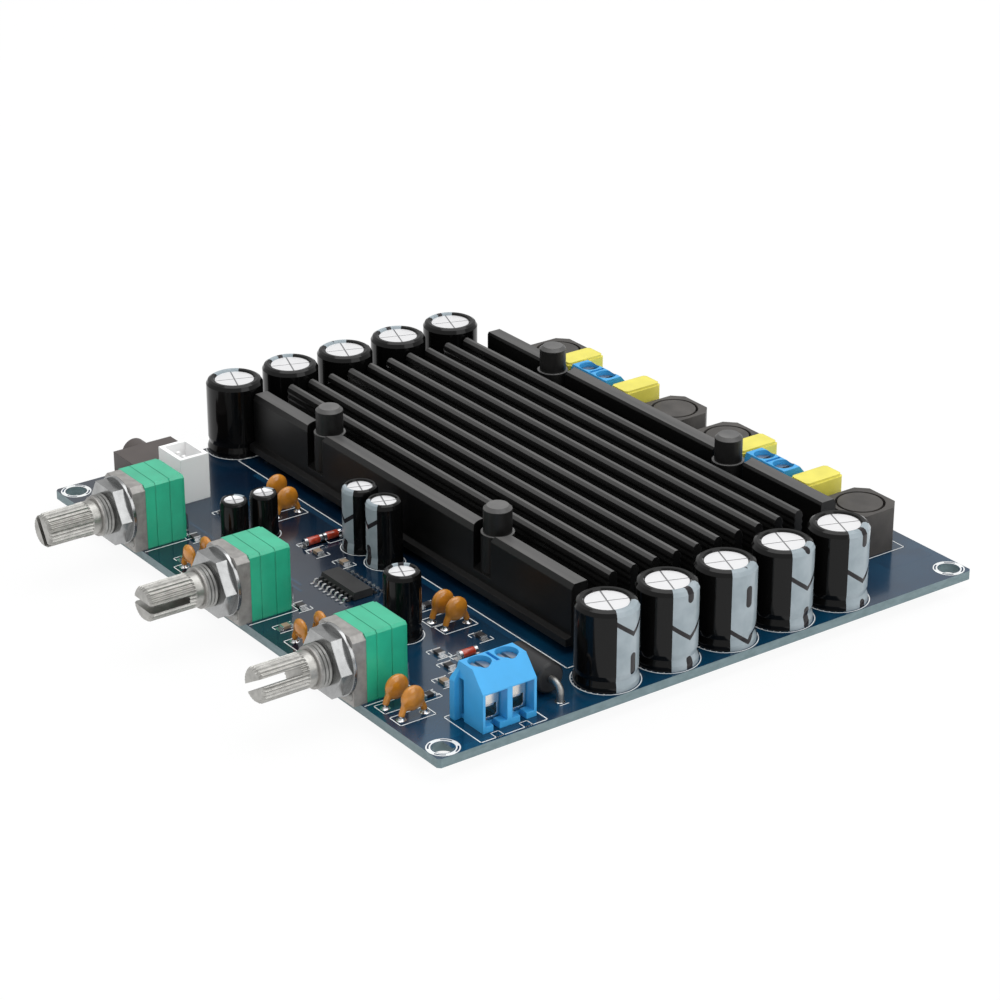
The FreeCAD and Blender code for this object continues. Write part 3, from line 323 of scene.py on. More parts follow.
def drawn_black():
    """Drawn aluminium with fine lines along its length, dyed black."""
    paint = Paint("black_anodised", (0.010, 0.009, 0.009), 0.38, specular=0.35)
    paint.soft_edges(0.14)
    # painted top light: the heat sink's high upward faces are painted grey as a painted highlight
    paint_lit_tops(paint, paint.noise(2.0, 4.0, (0.05, 1, 1)), 0.004, 0.085)
    return paint.bump(paint.noise(0.35, 4.0, (0.02, 1, 1)), 0.012, 0.6)


def post_black():
    paint = moulded("post_black", (0.010, 0.010, 0.011), 0.42, 0.2)
    # painted top light: the post tops are painted grey as a painted highlight
    paint_lit_tops(paint, paint.noise(4.0), 0.006, 0.12)
    return paint


dress(["heatsink"], drawn_black())
dress(["heatsink_posts"], post_black())
dress(["circuit_board"], solder_mask(Paint("solder_mask", (0.003, 0.03, 0.07), 0.16, coat=0.4)))
dress(["heatsink_screws"],
      cast_metal("zinc_screws", (0.62, 0.63, 0.62), 0.3, 0.3, 0.01, edge=0.08))
dress(["thermal_pads"], moulded("thermal_pad", (0.40, 0.43, 0.47), 0.8))
dress(["integrated_circuits"], moulded("chip_epoxy", (0.022, 0.022, 0.023), 0.55, 0.06, 0.25))
dress(numbered("film_capacitor"), moulded("film_box", (0.80, 0.72, 0.11), 0.34, 0.25))
dress(numbered("inductor"),
      moulded("ferrite", (0.055, 0.050, 0.046), 0.5, 0.2, 0.3, 0.0, 0.4, 0.03))
dress(TERMINALS, moulded("terminal_blue", (0.046, 0.375, 0.76), 0.36, 0.16, 0.05))
dress(numbered("terminal_screw"),
      cast_metal("screw_plate", (0.42, 0.44, 0.47), 0.35, 0.2, 0.01, edge=0.06))
dress(numbered("terminal_cage") + ["terminal_tabs"],
      cast_metal("tinned_cage", (0.74, 0.71, 0.66), 0.24, 0.5, 0.012, edge=0.1))
dress(numbered("pot_frame"),
      cast_metal("die_cast", (0.36, 0.35, 0.335), 0.5, 0.3, 0.07, 0.6, 0.2))
dress(numbered("pot_rear"),
      moulded("pot_green", (0.024, 0.435, 0.250), 0.34, 0.18, 0.10, coat=0.3))
dress(["pot_washers", "pot_nuts"],
      cast_metal("bright_nickel", (0.35, 0.355, 0.355), 0.22, 0.6, 0.012, edge=0.2))
shaft_metal = cast_metal("shaft_alloy", (0.40, 0.395, 0.375), 0.38, 0.3, 0.03)
dress(numbered("pot_shaft"), shaft_metal)
dress(["audio_jack"], moulded("jack_grey", (0.075, 0.062, 0.058), 0.5, 0.2))
dress(["signal_connector"],
      moulded("natural_nylon", (0.985, 0.985, 0.985), 0.45, 0.15, 0.01))
dress(["surface_mount_parts", "ceramic_capacitors"], moulded("ceramic", (0.1, 0.1, 0.1)))

# The stripe looks along +X on the near supply row and away on the far row.
NEAR_CANS = 5
mark_heights = (9.5, 5.4, 1.0, 6.9, 4.7)
near_turns = (16.3, 7.8, 7.9, 12.4, 13.8)
for number, name in enumerate(numbered("main_capacitor")):
    near = number < NEAR_CANS
    turn = near_turns[number] if near else 176 + 3 * math.sin(number * 2.1)
    dress([name], sleeve("sleeve_" + name, *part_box(name), math.radians(turn),
                         mark_heights[number % NEAR_CANS]))
for number, name in enumerate(numbered("preamp_capacitor")):
    turn = 150 if number == 0 else -92
    dress([name], sleeve("sleeve_" + name, *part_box(name), math.radians(turn), 4.0 + number * 1.7))


# Mesh tools: all of them draw in millimetres into a bmesh.
def islands(name):
    """The box of each separate solid of a node, (low, high) in millimetres."""
    mesh = nodes[name].data
    group = {}
    for vertex in mesh.vertices:
        group.setdefault(tuple(round(c * 1e6) for c in vertex.co), []).append(vertex.index)
    owner = list(range(len(mesh.vertices)))

    def root(index):
        while owner[index] != index:
            owner[index] = owner[owner[index]]
            index = owner[index]
        return index

    for same in list(group.values()) + [list(p.vertices) for p in mesh.polygons]:
        for other in same[1:]:
            owner[root(other)] = root(same[0])
    boxes = {}
    for vertex in mesh.vertices:
        low, high = boxes.setdefault(root(vertex.index), ([1e9] * 3, [-1e9] * 3))
        for axis in range(3):
            low[axis] = min(low[axis], vertex.co[axis] / MM)
            high[axis] = max(high[axis], vertex.co[axis] / MM)
    return sorted((Vector(low), Vector(high)) for low, high in
                  sorted(boxes.values(), key=lambda b: (round(b[0][0], 2), round(b[0][1], 2))))


def box(name):
    """A node's box, low and high corner in millimetres."""
    return [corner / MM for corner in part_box(name)]


def spots_of(names):
    return [((low.x + high.x) / 2 / MM, (low.y + high.y) / 2 / MM)
            for low, high in map(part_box, names)]


def piece(name, bm, paint, body=BOARD, smooth=False, shapes=()):
    """Turns a bmesh in millimetres into a piece that rides on a body."""
    bmesh.ops.transform(bm, matrix=Matrix.Scale(MM, 4), verts=bm.verts)
    bmesh.ops.recalc_face_normals(bm, faces=bm.faces)
    mesh = bpy.data.meshes.new(name)
    bm.to_mesh(mesh)
    bm.free()
    made = bpy.data.objects.new(name, mesh)
    bpy.context.scene.collection.objects.link(made)
    for kind, settings in shapes:
        step = made.modifiers.new(kind.lower(), kind)
        for key, value in settings.items():
            setattr(step, key, value)
    if shapes:
        bpy.context.view_layer.update()
        solid = made.evaluated_get(bpy.context.evaluated_depsgraph_get())
        mesh = bpy.data.meshes.new_from_object(solid)
        made.modifiers.clear()
        made.data = mesh
    mesh.materials.clear()
    mesh.materials.append(paint.material)
    if smooth:
        mesh.shade_smooth()
    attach(made, body)
    return made


def block(bm, low, high):
    low, high = Vector(low), Vector(high)
    size = high - low
    for vertex in bmesh.ops.create_cube(bm, size=1.0)["verts"]:
        vertex.co = Vector((vertex.co[i] * size[i] + (low[i] + high[i]) / 2 for i in range(3)))


def lathe(bm, profile, centre, turn=None, steps=32):
    """Revolves (radius, height) pairs about Z, turns the result and moves it to centre."""
    rings = []
    for radius, height in profile:
        row = []
        for step in range(steps if radius > 1e-6 else 1):
            angle = 2 * math.pi * step / steps
            spot = Vector((radius * math.cos(angle), radius * math.sin(angle), height))
            row.append(bm.verts.new((turn @ spot if turn else spot) + Vector(centre)))
        rings.append(row)
    for below, above in zip(rings, rings[1:]):
        for step in range(steps):
            after = (step + 1) % steps
            corners = [below[step % len(below)], below[after % len(below)],
                       above[after % len(above)], above[step % len(above)]]
            corners = list(dict.fromkeys(corners))
            if len(corners) > 2:
                bm.faces.new(corners)


def skin(bm, rings):
    """Walls between rings of equally many vertices, closed at both ends."""
    count = len(rings[0])
    for below, above in zip(rings, rings[1:]):
        for k in range(count):
            after = (k + 1) % count
            bm.faces.new((below[k], below[after], above[after], above[k]))
    bm.faces.new(rings[0])
    bm.faces.new(rings[-1])


def heading(path, index):
    """The direction of a path of points at one of them."""
    return (path[min(len(path) - 1, index + 1)] - path[max(0, index - 1)]).normalized()


def bent(bm, path, radius, steps=10):
    """A round wire along a path of points."""
    path = [Vector(p) for p in path]
    side = heading(path, 0).orthogonal().normalized()
    rings = []
    for index, spot in enumerate(path):
        along = heading(path, index)
        side = (side - along * side.dot(along)).normalized()
        other = along.cross(side)
        rings.append([bm.verts.new(spot + (side * math.cos(a) + other * math.sin(a)) * radius)
                      for a in (2 * math.pi * k / steps for k in range(steps))])
    skin(bm, rings)


def ribbon(bm, path, across, thick):
    """A flat leg: a path of points, as wide as the vector across and thick millimetres."""
    path = [Vector(p) for p in path]
    across = Vector(across)
    rings = []
    for index, spot in enumerate(path):
        up = heading(path, index).cross(across).normalized() * thick / 2
        rings.append([bm.verts.new(spot + a + b) for a, b in (
            (across / 2, up), (-across / 2, up), (-across / 2, -up), (across / 2, -up))])
    skin(bm, rings)


def line(bm, start, end, width, level=PRINT_LEVEL):
    """A flat printed line on the board."""
    start, end = Vector((*start, level)), Vector((*end, level))
    along = (end - start).normalized() * width / 2
    side = Vector((-along.y, along.x, 0))
    bm.faces.new([bm.verts.new(p) for p in (
        start - along + side, start - along - side, end + along - side, end + along + side)])


def frame_lines(bm, low, high, width, open_side=None):
    (x0, y0), (x1, y1) = low, high
    sides = {"front": ((x0, y0), (x1, y0)), "right": ((x1, y0), (x1, y1)),
             "back": ((x1, y1), (x0, y1)), "left": ((x0, y1), (x0, y0))}
    for name, (start, end) in sides.items():
        if name != open_side:
            line(bm, start, end, width)


def frame_round(bm, low, high, margins, width):
    """A printed frame round a box; margins are for its left, front, right and back."""
    left, front, right, back = margins
    frame_lines(bm, (low.x - left, low.y - front), (high.x + right, high.y + back), width)


def ring(bm, centre, inner, outer, level, start=0.0, end=360.0, steps=48):
    count = max(3, round(steps * (end - start) / 360))
    spots = [math.radians(start + (end - start) * k / count) for k in range(count + 1)]
    rows = [[bm.verts.new((centre[0] + r * math.cos(a), centre[1] + r * math.sin(a), level))
             for a in spots] for r in (inner, outer)]
    for k in range(count):
        bm.faces.new((rows[0][k], rows[1][k], rows[1][k + 1], rows[0][k + 1]))


# Paints of the pieces on the board.
white_print = moulded("white_print", (0.78, 0.80, 0.80), 0.6, 0.0)
tin = cast_metal("solder_tin", (0.62, 0.63, 0.64), 0.26, 0.5, 0.02)
dark_mask = Paint("mask_in_ring", (0.01, 0.03, 0.07), 0.25).mottle(2.0, 0.2)
track_paint = Paint("mask_over_copper", (0.003, 0.036, 0.082), 0.18, coat=0.4).mottle(6.0, 0.2)

# Places of the parts, read from the frame.
can_rows = spots_of(numbered("main_capacitor"))
can_low, can_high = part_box("main_capacitor_01")
can_radius = (can_high.x - can_low.x) / 2 / MM
preamp_cans = spots_of(numbered("preamp_capacitor"))
small_cans = [((a.x + b.x) / 2, (a.y + b.y) / 2) for a, b in islands("bypass_capacitors")]
discs = islands("ceramic_capacitors")
small_parts = islands("surface_mount_parts")
chips = islands("integrated_circuits")
sink_low, sink_high = box("heatsink")
filter_parts = numbered("inductor") + numbered("film_capacitor")
HOLE_INSET = 2.75
HOLE_RING = (1.95, 2.7)
holes = [(sx * (edge_x - HOLE_INSET), sy * (edge_y - HOLE_INSET))
         for sx in (-1, 1) for sy in (-1, 1)]


def stands_along_y(low, high):
    return high.y - low.y > high.x - low.x


# Line widths of the white print.
BOLD, PLAIN, LIGHT, FINE = 0.22, 0.2, 0.18, 0.16


def print_supply_cans(bm):
    """Rings round the supply cans, with short hatching over a quarter."""
    inner, outer = can_radius + 0.22, can_radius + 0.40
    for x, y in can_rows:
        room = edge_x + x - 0.1
        if room < outer:
            # the far row stands over the edge, so its rings are open there
            half = math.degrees(math.acos(room / outer))
            ring(bm, (x, y), inner, outer, PRINT_LEVEL, half - 180, 180 - half)
        else:
            ring(bm, (x, y), inner, outer, PRINT_LEVEL)
        for step in range(9):
            angle = math.radians(-128 + 11 * step)
            slant = angle - 0.05
            line(bm, (x + (inner - 0.6) * math.cos(slant), y + (inner - 0.6) * math.sin(slant)),
                 (x + inner * math.cos(angle), y + inner * math.sin(angle)), FINE)


def print_small_part(bm, low, high):
    """Two brackets that stand off a small part by a pad's width."""
    pad = 0.75
    for x in (low.x - pad, high.x + pad):
        line(bm, (x, low.y - pad), (x, high.y + pad), FINE)
    line(bm, (low.x - pad, low.y - pad), (low.x + 0.3, low.y - pad), FINE)
    line(bm, (high.x + pad, high.y + pad), (high.x - 0.3, high.y + pad), FINE)


def print_board():
    bm = bmesh.new()
    frame_round(bm, sink_low, sink_high, (0.3, 2.4, 3.6, 0.9), BOLD)
    print_supply_cans(bm)
    for x, y in preamp_cans:
        ring(bm, (x, y), 3.45, 3.62, PRINT_LEVEL)
    for x, y in small_cans:
        ring(bm, (x, y), 2.75, 2.9, PRINT_LEVEL)
    for low, high in discs:
        middle = (low + high) / 2
        half_x, half_y = (1.55, 3.3) if stands_along_y(low, high) else (2.9, 1.5)
        frame_round(bm, middle, middle, (half_x, half_y, half_x, half_y), LIGHT)
    for low, high in small_parts:
        print_small_part(bm, low, high)
    for name in numbered("pot_rear"):
        low, high = box(name)
        frame_lines(bm, (low.x - 0.8, -edge_y + 0.3), (high.x + 0.8, high.y + 0.7), PLAIN, "front")
    supply_low, supply_high = box("power_terminal")
    frame_round(bm, supply_low, supply_high, (0.6, 0.7, 1.9, 0.7), PLAIN)
    for side in (-1, 1):
        middle = (supply_low.y + supply_high.y) / 2 + side * 2.7
        frame_lines(bm, (supply_high.x + 0.35, middle - 0.75),
                    (supply_high.x + 1.9, middle + 0.75), FINE)
    for name in TERMINALS[1:]:
        frame_round(bm, *box(name), (0.5, 0.5, 0.5, 1.7), PLAIN)
    for name in filter_parts:
        frame_round(bm, *box(name), (0.35, 0.6, 0.35, 0.6), LIGHT)
    for spot in holes:
        ring(bm, spot, *HOLE_RING, PRINT_LEVEL)
    low, high = box("rectifier_diode")
    line(bm, (low.x + 1.0, low.y + 0.4), (low.x + 1.0, high.y - 0.2), LIGHT)
    line(bm, (high.x + 0.5, low.y + 1.8), (high.x + 0.5, high.y - 1.8), LIGHT)
    piece("board_print", bm, white_print)


def cut_hole_rings():
    """Four dark arcs that lie in the white ring of each corner hole."""
    bm = bmesh.new()
    for spot in holes:
        for quarter in range(4):
            start = 90 * quarter + 20
            ring(bm, spot, 2.2, 2.48, PRINT_LEVEL + 0.01, start, start + 46)
    piece("hole_ring_gaps", bm, dark_mask)


print_board()
cut_hole_rings()


# Solder joints: ring pads above, domed joints with lead stubs below.
def pair(x, y, pitch, along_y=False):
    return [(x, y + d) if along_y else (x + d, y) for d in (-pitch / 2, pitch / 2)]


def disc_feet(low, high):
    inset = 0.45
    middle = (low + high) / 2
    if stands_along_y(low, high):
        return [(middle.x, low.y + inset), (middle.x, high.y - inset)]
    return [(low.x + inset, middle.y), (high.x - inset, middle.y)]


leads = []
for x, y in can_rows:
    # the far row stands too near the edge for leads across it
    leads += pair(x, y, 5.0, x < 0)
for x, y in preamp_cans:
    leads += pair(x, y, 2.5)
for x, y in small_cans:
    leads += pair(x, y, 2.0)
disc_leads = [foot for low, high in discs for foot in disc_feet(low, high)]
leads += disc_leads
for name in TERMINALS:
    low, high = box(name)
    leads += pair((low.x + high.x) / 2, (low.y + high.y) / 2, 5.08, name == "power_terminal")
for name in filter_parts:
    low, high = box(name)
    leads += pair((low.x + high.x) / 2, (low.y + high.y) / 2, 7.5, True)
LUG_STEPS = (-2.5, 0, 2.5)
for name in numbered("pot_rear"):
    low, high = box(name)
    leads += [((low.x + high.x) / 2 + d, y)
              for d in LUG_STEPS for y in (high.y + 1.2, high.y - 3.0)]
low, high = box("audio_jack")
leads += [(low.x + 4.5, low.y + 2.0), (low.x + 4.5, high.y - 2.0),
          (high.x - 2.5, (low.y + high.y) / 2)]
low, high = box("signal_connector")
leads += [((low.x + high.x) / 2 + d, (low.y + high.y) / 2) for d in (-2.0, 0, 2.0)]
diode_low, diode_high = box("rectifier_diode")
diode_middle = (diode_low + diode_high) / 2
diode_along_y = stands_along_y(diode_low, diode_high)
diode_inset = 0.65
diode_leads = [(diode_low.x + diode_inset, diode_middle.y),
               (diode_high.x - diode_inset, diode_middle.y)]
if diode_along_y:
    diode_leads = [(diode_middle.x, diode_low.y + diode_inset),
                   (diode_middle.x, diode_high.y - diode_inset)]
leads += diode_leads

bm = bmesh.new()
for x, y in leads:
    lathe(bm, [(0.42, -1.35), (0.42, -0.95), (0.72, -0.55), (1.15, -0.12), (1.25, -0.01)],
          (x, y, 0), steps=14)
    lathe(bm, [(0, -1.42), (0.36, -1.42), (0.42, -1.35)], (x, y, 0), steps=14)
for spot in holes:
    ring(bm, spot, *HOLE_RING, -0.02)
piece("joints_below", bm, tin, smooth=True)

bm = bmesh.new()
for x, y in disc_leads + diode_leads:
    ring(bm, (x, y), 0.0, 0.85, PAD_LEVEL, steps=18)
    lathe(bm, [(0.8, 0.03), (0.55, 0.12), (0.4, 0.4)], (x, y, top), steps=18)
piece("joints_above", bm, tin, smooth=True)


# Small parts with soldered ends.
GLASS_HEIGHT = 1.2
CAP = 0.38


def glass_diode(tubes, ends, low, high, axis):
    """A glass barrel between two end caps, lying along an axis."""
    size = high - low
    middle = (low + high) / 2
    turn = Matrix.Rotation(math.pi / 2, 3, "Y" if axis == 0 else "X")
    half = size[axis] / 2
    radius = min(size[1 - axis], size.z) / 2
    neck = radius * 0.9
    lathe(tubes, [(0, -half + 0.5), (neck, -half + 0.5), (radius, -half + 0.7),
                  (radius, half - 0.7), (neck, half - 0.5), (0, half - 0.5)], middle, turn, 20)
    rim = radius * 0.98
    for side in (-1, 1):
        outer, inner = side * half, side * (half - 0.55)
        lathe(ends, [(0, outer), (rim, outer), (rim, inner), (0, inner)], middle, turn, 20)


def chip_part(body, ends, low, high, axis):
    """A small block between two slightly taller end caps."""
    inner_low, inner_high = low.copy(), high.copy()
    inner_low[axis] += CAP
    inner_high[axis] -= CAP
    block(body, inner_low, inner_high)
    for side in (0, 1):
        cap_low, cap_high = low.copy(), high.copy()
        if side:
            cap_low[axis] = high[axis] - CAP
        else:
            cap_high[axis] = low[axis] + CAP
        cap_high.z += 0.02
        block(ends, cap_low, cap_high)


def solder_pads(ends, low, high, axis):
    size = high - low
    other = 1 - axis
    for side in (-1, 1):
        spot = (low + high) / 2
        spot[axis] += side * (size[axis] / 2 + 0.12)
        pad_low, pad_high = spot.copy(), spot.copy()
        pad_low[axis] -= 0.5
        pad_high[axis] += 0.5
        pad_low[other] -= size[other] / 2 + 0.1
        pad_high[other] += size[other] / 2 + 0.1
        pad_low.z, pad_high.z = top - 0.01, top + 0.05
        block(ends, pad_low, pad_high)


def small_surface_parts():
    part_black = moulded("resistor_black", (0.02, 0.02, 0.022), 0.35, 0.04)
    part_tan = moulded("chip_ceramic", (0.30, 0.22, 0.15), 0.45, 0.04)
    red_glass = Paint("red_glass", (0.42, 0.045, 0.02), 0.12, coat=0.6).mottle(0.8, 0.3)
    black, tan, ends, tubes = (bmesh.new() for _ in range(4))
    for number, (low, high) in enumerate(small_parts):
        size = high - low
        axis = 0 if size.x > size.y else 1
        if size.z > GLASS_HEIGHT:
            glass_diode(tubes, ends, low, high, axis)
        else:
            chip_part(tan if number % 3 == 0 else black, ends, low, high, axis)
        solder_pads(ends, low, high, axis)
    made = [piece("resistor_bodies", black, part_black), piece("ceramic_bodies", tan, part_tan),
            piece("soldered_ends", ends, tin),
            piece("glass_diodes", tubes, red_glass, smooth=True)]
    for part in made:
        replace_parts(part, "surface_mount_parts")


def chip_legs():
    """Gull-wing legs along the two long sides of each chip."""
    bm = bmesh.new()
    for low, high in chips:
        size = high - low
        along = 0 if size.x > size.y else 1
        other = 1 - along
        is_preamp = high.y < sink_low.y
        pitch, count = (1.27, 8) if is_preamp else (0.65, 18)
        middle = (low + high) / 2
        lift = min(0.9, (high.z - top) * 0.5)
        profile = ((-0.1, lift), (0.35, lift), (0.6, lift * 0.5), (0.75, 0.12), (1.35, 0.1))
        width = Vector((0, 0, 0))
        width[along] = pitch * 0.34
        for step in range(count):
            for side in (-1, 1):
                face = (high if side > 0 else low)[other]
                path = []
                for out, level in profile:
                    spot = Vector((0, 0, top + level))
                    spot[along] = middle[along] + (step - (count - 1) / 2) * pitch
                    spot[other] = face + side * out
                    path.append(spot)
                ribbon(bm, path, width, 0.16)
    piece("chip_legs", bm, tin)


small_surface_parts()
chip_legs()


# Dipped disc capacitors: a lens of lacquer that runs down both leads.
lacquer = Paint("disc_lacquer", (0.53, 0.205, 0.020), 0.14, coat=0.5).mottle(1.6, 0.18)
lacquer.bump(lacquer.noise(1.2, 2.0), 0.05, 0.4)


def disc_capacitor(number, low, high):
    middle = (low + high) / 2
    along = Vector((0, 1, 0)) if stands_along_y(low, high) else Vector((1, 0, 0))
    across = Vector((along.y, along.x, 0))
    foot_reach = max(high.y - low.y, high.x - low.x) / 2 - 0.45
    radius = 2.15 if foot_reach > 2.0 else 1.7
    thin = 0.5 * radius
    spread = 0.62 * radius
    heart = Vector((middle.x, middle.y, high.z - radius))
    bm = bmesh.new()
    bmesh.ops.create_uvsphere(bm, u_segments=32, v_segments=20, radius=1.0)
    for vertex in bm.verts:
        x, y, z = vertex.co
        vertex.co = heart + along * y * radius + across * x * thin
        vertex.co.z += z * radius
    for side in (-1, 1):
        foot = Vector((middle.x, middle.y, top + 0.55)) + along * side * foot_reach
        start = heart + along * side * spread - Vector((0, 0, 0.2 * radius))
        bent(bm, [start.lerp(foot, t) for t in (0, 0.25, 0.5, 0.75, 1.0)], 0.56, 12)
    made = piece("disc_capacitor_%02d" % number, bm, lacquer, smooth=True, shapes=(
        ("REMESH", {"mode": "VOXEL", "voxel_size": 0.17 * MM}),
        ("SMOOTH", {"factor": 0.7, "iterations": 5})))
    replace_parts(made, "ceramic_capacitors")


for number, (low, high) in enumerate(discs, start=1):
    disc_capacitor(number, low, high)
bm = bmesh.new()
for x, y in disc_leads:
    bent(bm, [(x, y, top - 0.2), (x, y, top + 0.75)], 0.26, 10)
piece("disc_leads", bm, tin, smooth=True)


def bypass_can(number, low, high):
    """The rolled outline of a small can."""
    radius = (high.x - low.x) / 2
    height = high.z - low.z
    bm = bmesh.new()
    lathe(bm, [(0, 0), (radius, 0), (radius, 0.7), (radius * 0.95, 1.4),
               (radius * 0.95, height - 0.7), (radius * 0.86, height - 0.05),
               (radius * 0.7, height), (radius * 0.66, height - 0.15), (0, height - 0.15)],
          ((low.x + high.x) / 2, (low.y + high.y) / 2, low.z), steps=40)
    paint = sleeve("small_sleeve_%d" % number, low * MM, high * MM, math.radians(120), 2.0,
                   stripe_share=0.16, marks=False)
    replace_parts(piece("bypass_can_%d" % number, bm, paint, smooth=True), "bypass_capacitors")


for number, (low, high) in enumerate(islands("bypass_capacitors"), start=1):
    bypass_can(number, low, high)

# Potentiometers.
SLOT_TURNS = {1: 60, 2: 0, 3: -30}
SLOT_WIDTH = 1.3
SLOT_DEPTH = 7.2
TEETH = 28
KNURL_DEPTH = 0.26
# the share of a tooth's depth at six steps round it
TOOTH = (0, 0, 0.6, 1, 1, 0.6)
BUSH_RADIUS = 3.5
THREAD_PITCH = 0.62
THREAD_RISE = 0.16
thread_metal = cast_metal("thread_metal", (0.30, 0.30, 0.29), 0.36, 0.3, 0.012)
into_board = Matrix.Rotation(math.pi / 2, 3, "X")


def slot_cutter(full, tip, turn, axis_x, axis_z):
    bm = bmesh.new()
    block(bm, (-full - 1, tip - 1, -SLOT_WIDTH / 2), (full + 1, tip + SLOT_DEPTH, SLOT_WIDTH / 2))
    place = Matrix.Translation((axis_x, 0, axis_z)) @ Matrix.Rotation(math.radians(turn), 4, "Y")
    bmesh.ops.transform(bm, matrix=place, verts=bm.verts)
    bmesh.ops.transform(bm, matrix=Matrix.Scale(MM, 4), verts=bm.verts)
    mesh = bpy.data.meshes.new("slot_cutter")
    bm.to_mesh(mesh)
    bm.free()
    cutter = bpy.data.objects.new("slot_cutter", mesh)
    bpy.context.scene.collection.objects.link(cutter)
    return cutter


def split_shaft(number, front):
    """Knurled bar: valleys between the teeth, a smooth collar, a bevelled tip, a slot."""
    name = "pot_shaft_%d" % number
    low, high = box(name)
    axis_x, axis_z = (low.x + high.x) / 2, (low.z + high.z) / 2
    full = (high.x - low.x) / 2
    tip = low.y
    collar = front - 1.5
    steps = TEETH * len(TOOTH)
    bm = bmesh.new()
    rings = []
    for y, valley, scale in ((front + 0.15, 0.0, 1.0), (collar, 0.0, 1.0),
                             (collar - 0.25, KNURL_DEPTH, 1.0),
                             (tip + 0.5, KNURL_DEPTH, 1.0), (tip, 0.1, 0.86)):
        row = []
        for step in range(steps):
            angle = 2 * math.pi * step / steps
            reach = (full - TOOTH[step % len(TOOTH)] * valley) * scale
            row.append(bm.verts.new((axis_x + reach * math.cos(angle), y,
                                     axis_z + reach * math.sin(angle))))
        rings.append(row)
    skin(bm, rings)
    cutter = slot_cutter(full, tip, SLOT_TURNS[number], axis_x, axis_z)
    made = piece("split_shaft_%d" % number, bm, shaft_metal, "turning_shaft_%d" % number, shapes=(
        ("BOOLEAN", {"object": cutter, "operation": "DIFFERENCE", "solver": "EXACT"}),))
    bpy.data.objects.remove(cutter)
    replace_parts(made, name)
    return axis_x, axis_z


def bush_thread(number, axis_x, axis_z, front):
    """Thread crests on the open end of the bushing."""
    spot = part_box("pot_nuts")[0].y / MM
    profile = [(BUSH_RADIUS - 0.1, spot)]
    while spot - THREAD_PITCH > front:
        profile += [(BUSH_RADIUS, spot), (BUSH_RADIUS + THREAD_RISE, spot - THREAD_PITCH * 0.5),
                    (BUSH_RADIUS, spot - THREAD_PITCH)]
        spot -= THREAD_PITCH
    profile.append((BUSH_RADIUS - 0.1, spot))
    bm = bmesh.new()
    lathe(bm, [(r, -y) for r, y in profile], (axis_x, 0, axis_z), into_board, 48)
    piece("bush_thread_%d" % number, bm, thread_metal)


def frame_rivets(number, axis_x, front):
    bm = bmesh.new()
    for side in (-1, 1):
        lathe(bm, [(0, 0.35), (0.55, 0.35), (0.75, 0.1), (0.75, -0.1)],
              (axis_x + side * 3.7, front + 5.0, top + 1.5), into_board, 20)
    piece("frame_rivets_%d" % number, bm, thread_metal, smooth=True)


def pot_lugs(number, axis_x):
    """Three flat lugs that leave the rear body and bend down into the board."""
    back = box("pot_rear_%d" % number)[1].y
    bm = bmesh.new()
    for step in LUG_STEPS:
        path = [(axis_x + step, back + out, top + height) for out, height in (
            (-0.2, 4.0), (0.6, 4.0), (1.1, 3.4), (1.2, 1.0), (1.2, -0.2))]
        ribbon(bm, path, (0.9, 0, 0), 0.3)
    piece("pot_lugs_%d" % number, bm, tin)


for number in (1, 2, 3):
    front = box("pot_frame_%d" % number)[0].y
    axis_x, axis_z = split_shaft(number, front)
    bush_thread(number, axis_x, axis_z, front)
    frame_rivets(number, axis_x, front)
    pot_lugs(number, axis_x)


def diode_paint():
    """Black body in the middle, duller tin where the leads leave it."""
    body_half = 4.83
    paint = Paint("diode_body", (0.012, 0.012, 0.012), 0.42)
    paint.soft_edges(0.2)
    shift = paint.new("ShaderNodeVectorMath")
    shift.operation = "SUBTRACT"
    shift.inputs[1].default_value = tuple(diode_middle * MM)
    paint.tree.links.new(paint.place, shift.inputs[0])
    along = paint.split(shift.outputs[0])[1 if diode_along_y else 0]
    reach = paint.maths("DIVIDE", paint.maths("ABSOLUTE", along), MM)
    lead = paint.maths("GREATER_THAN", reach, body_half)
    paint.feed(paint.blend(lead, (0.012, 0.012, 0.013), (0.36, 0.355, 0.34)), "Base Color")
    paint.feed(lead, "Metallic")
    return paint.bump(paint.noise(0.3), 0.01, 0.5)


dress(["rectifier_diode"], diode_paint())

# Copper areas and tracks that show faintly through the mask: start, end, width.
TRACKS = (
    ((57.0, -50.0), (57.0, -24.0), 2.6), ((44.0, -27.0), (36.0, -27.0), 1.8),
    ((38.0, -22.6), (-44.0, -22.6), 1.1), ((50.0, 45.5), (50.0, 52.0), 3.4),
    ((-12.0, -40.0), (-2.0, -40.0), 0.5), ((-12.0, -41.2), (0.0, -41.2), 0.5),
    ((12.0, -33.0), (18.0, -33.0), 0.5), ((12.0, -34.4), (18.0, -34.4), 0.5),
    ((24.0, -44.0), (42.0, -44.0), 0.6), ((24.0, -45.4), (40.0, -45.4), 0.6),
    ((-36.0, -42.5), (-26.0, -42.5), 0.6), ((-39.0, -30.0), (-30.0, -30.0), 0.8))
bm = bmesh.new()
for start, end, width in TRACKS:
    line(bm, start, end, width, TRACK_LEVEL)
piece("board_tracks", bm, track_paint)

# Studio.
scene = bpy.context.scene
FLOOR_SIZE = 4.0
FLOOR_GLOW = 0.93
SKY_LOW, SKY_HIGH = 0.55, 0.80


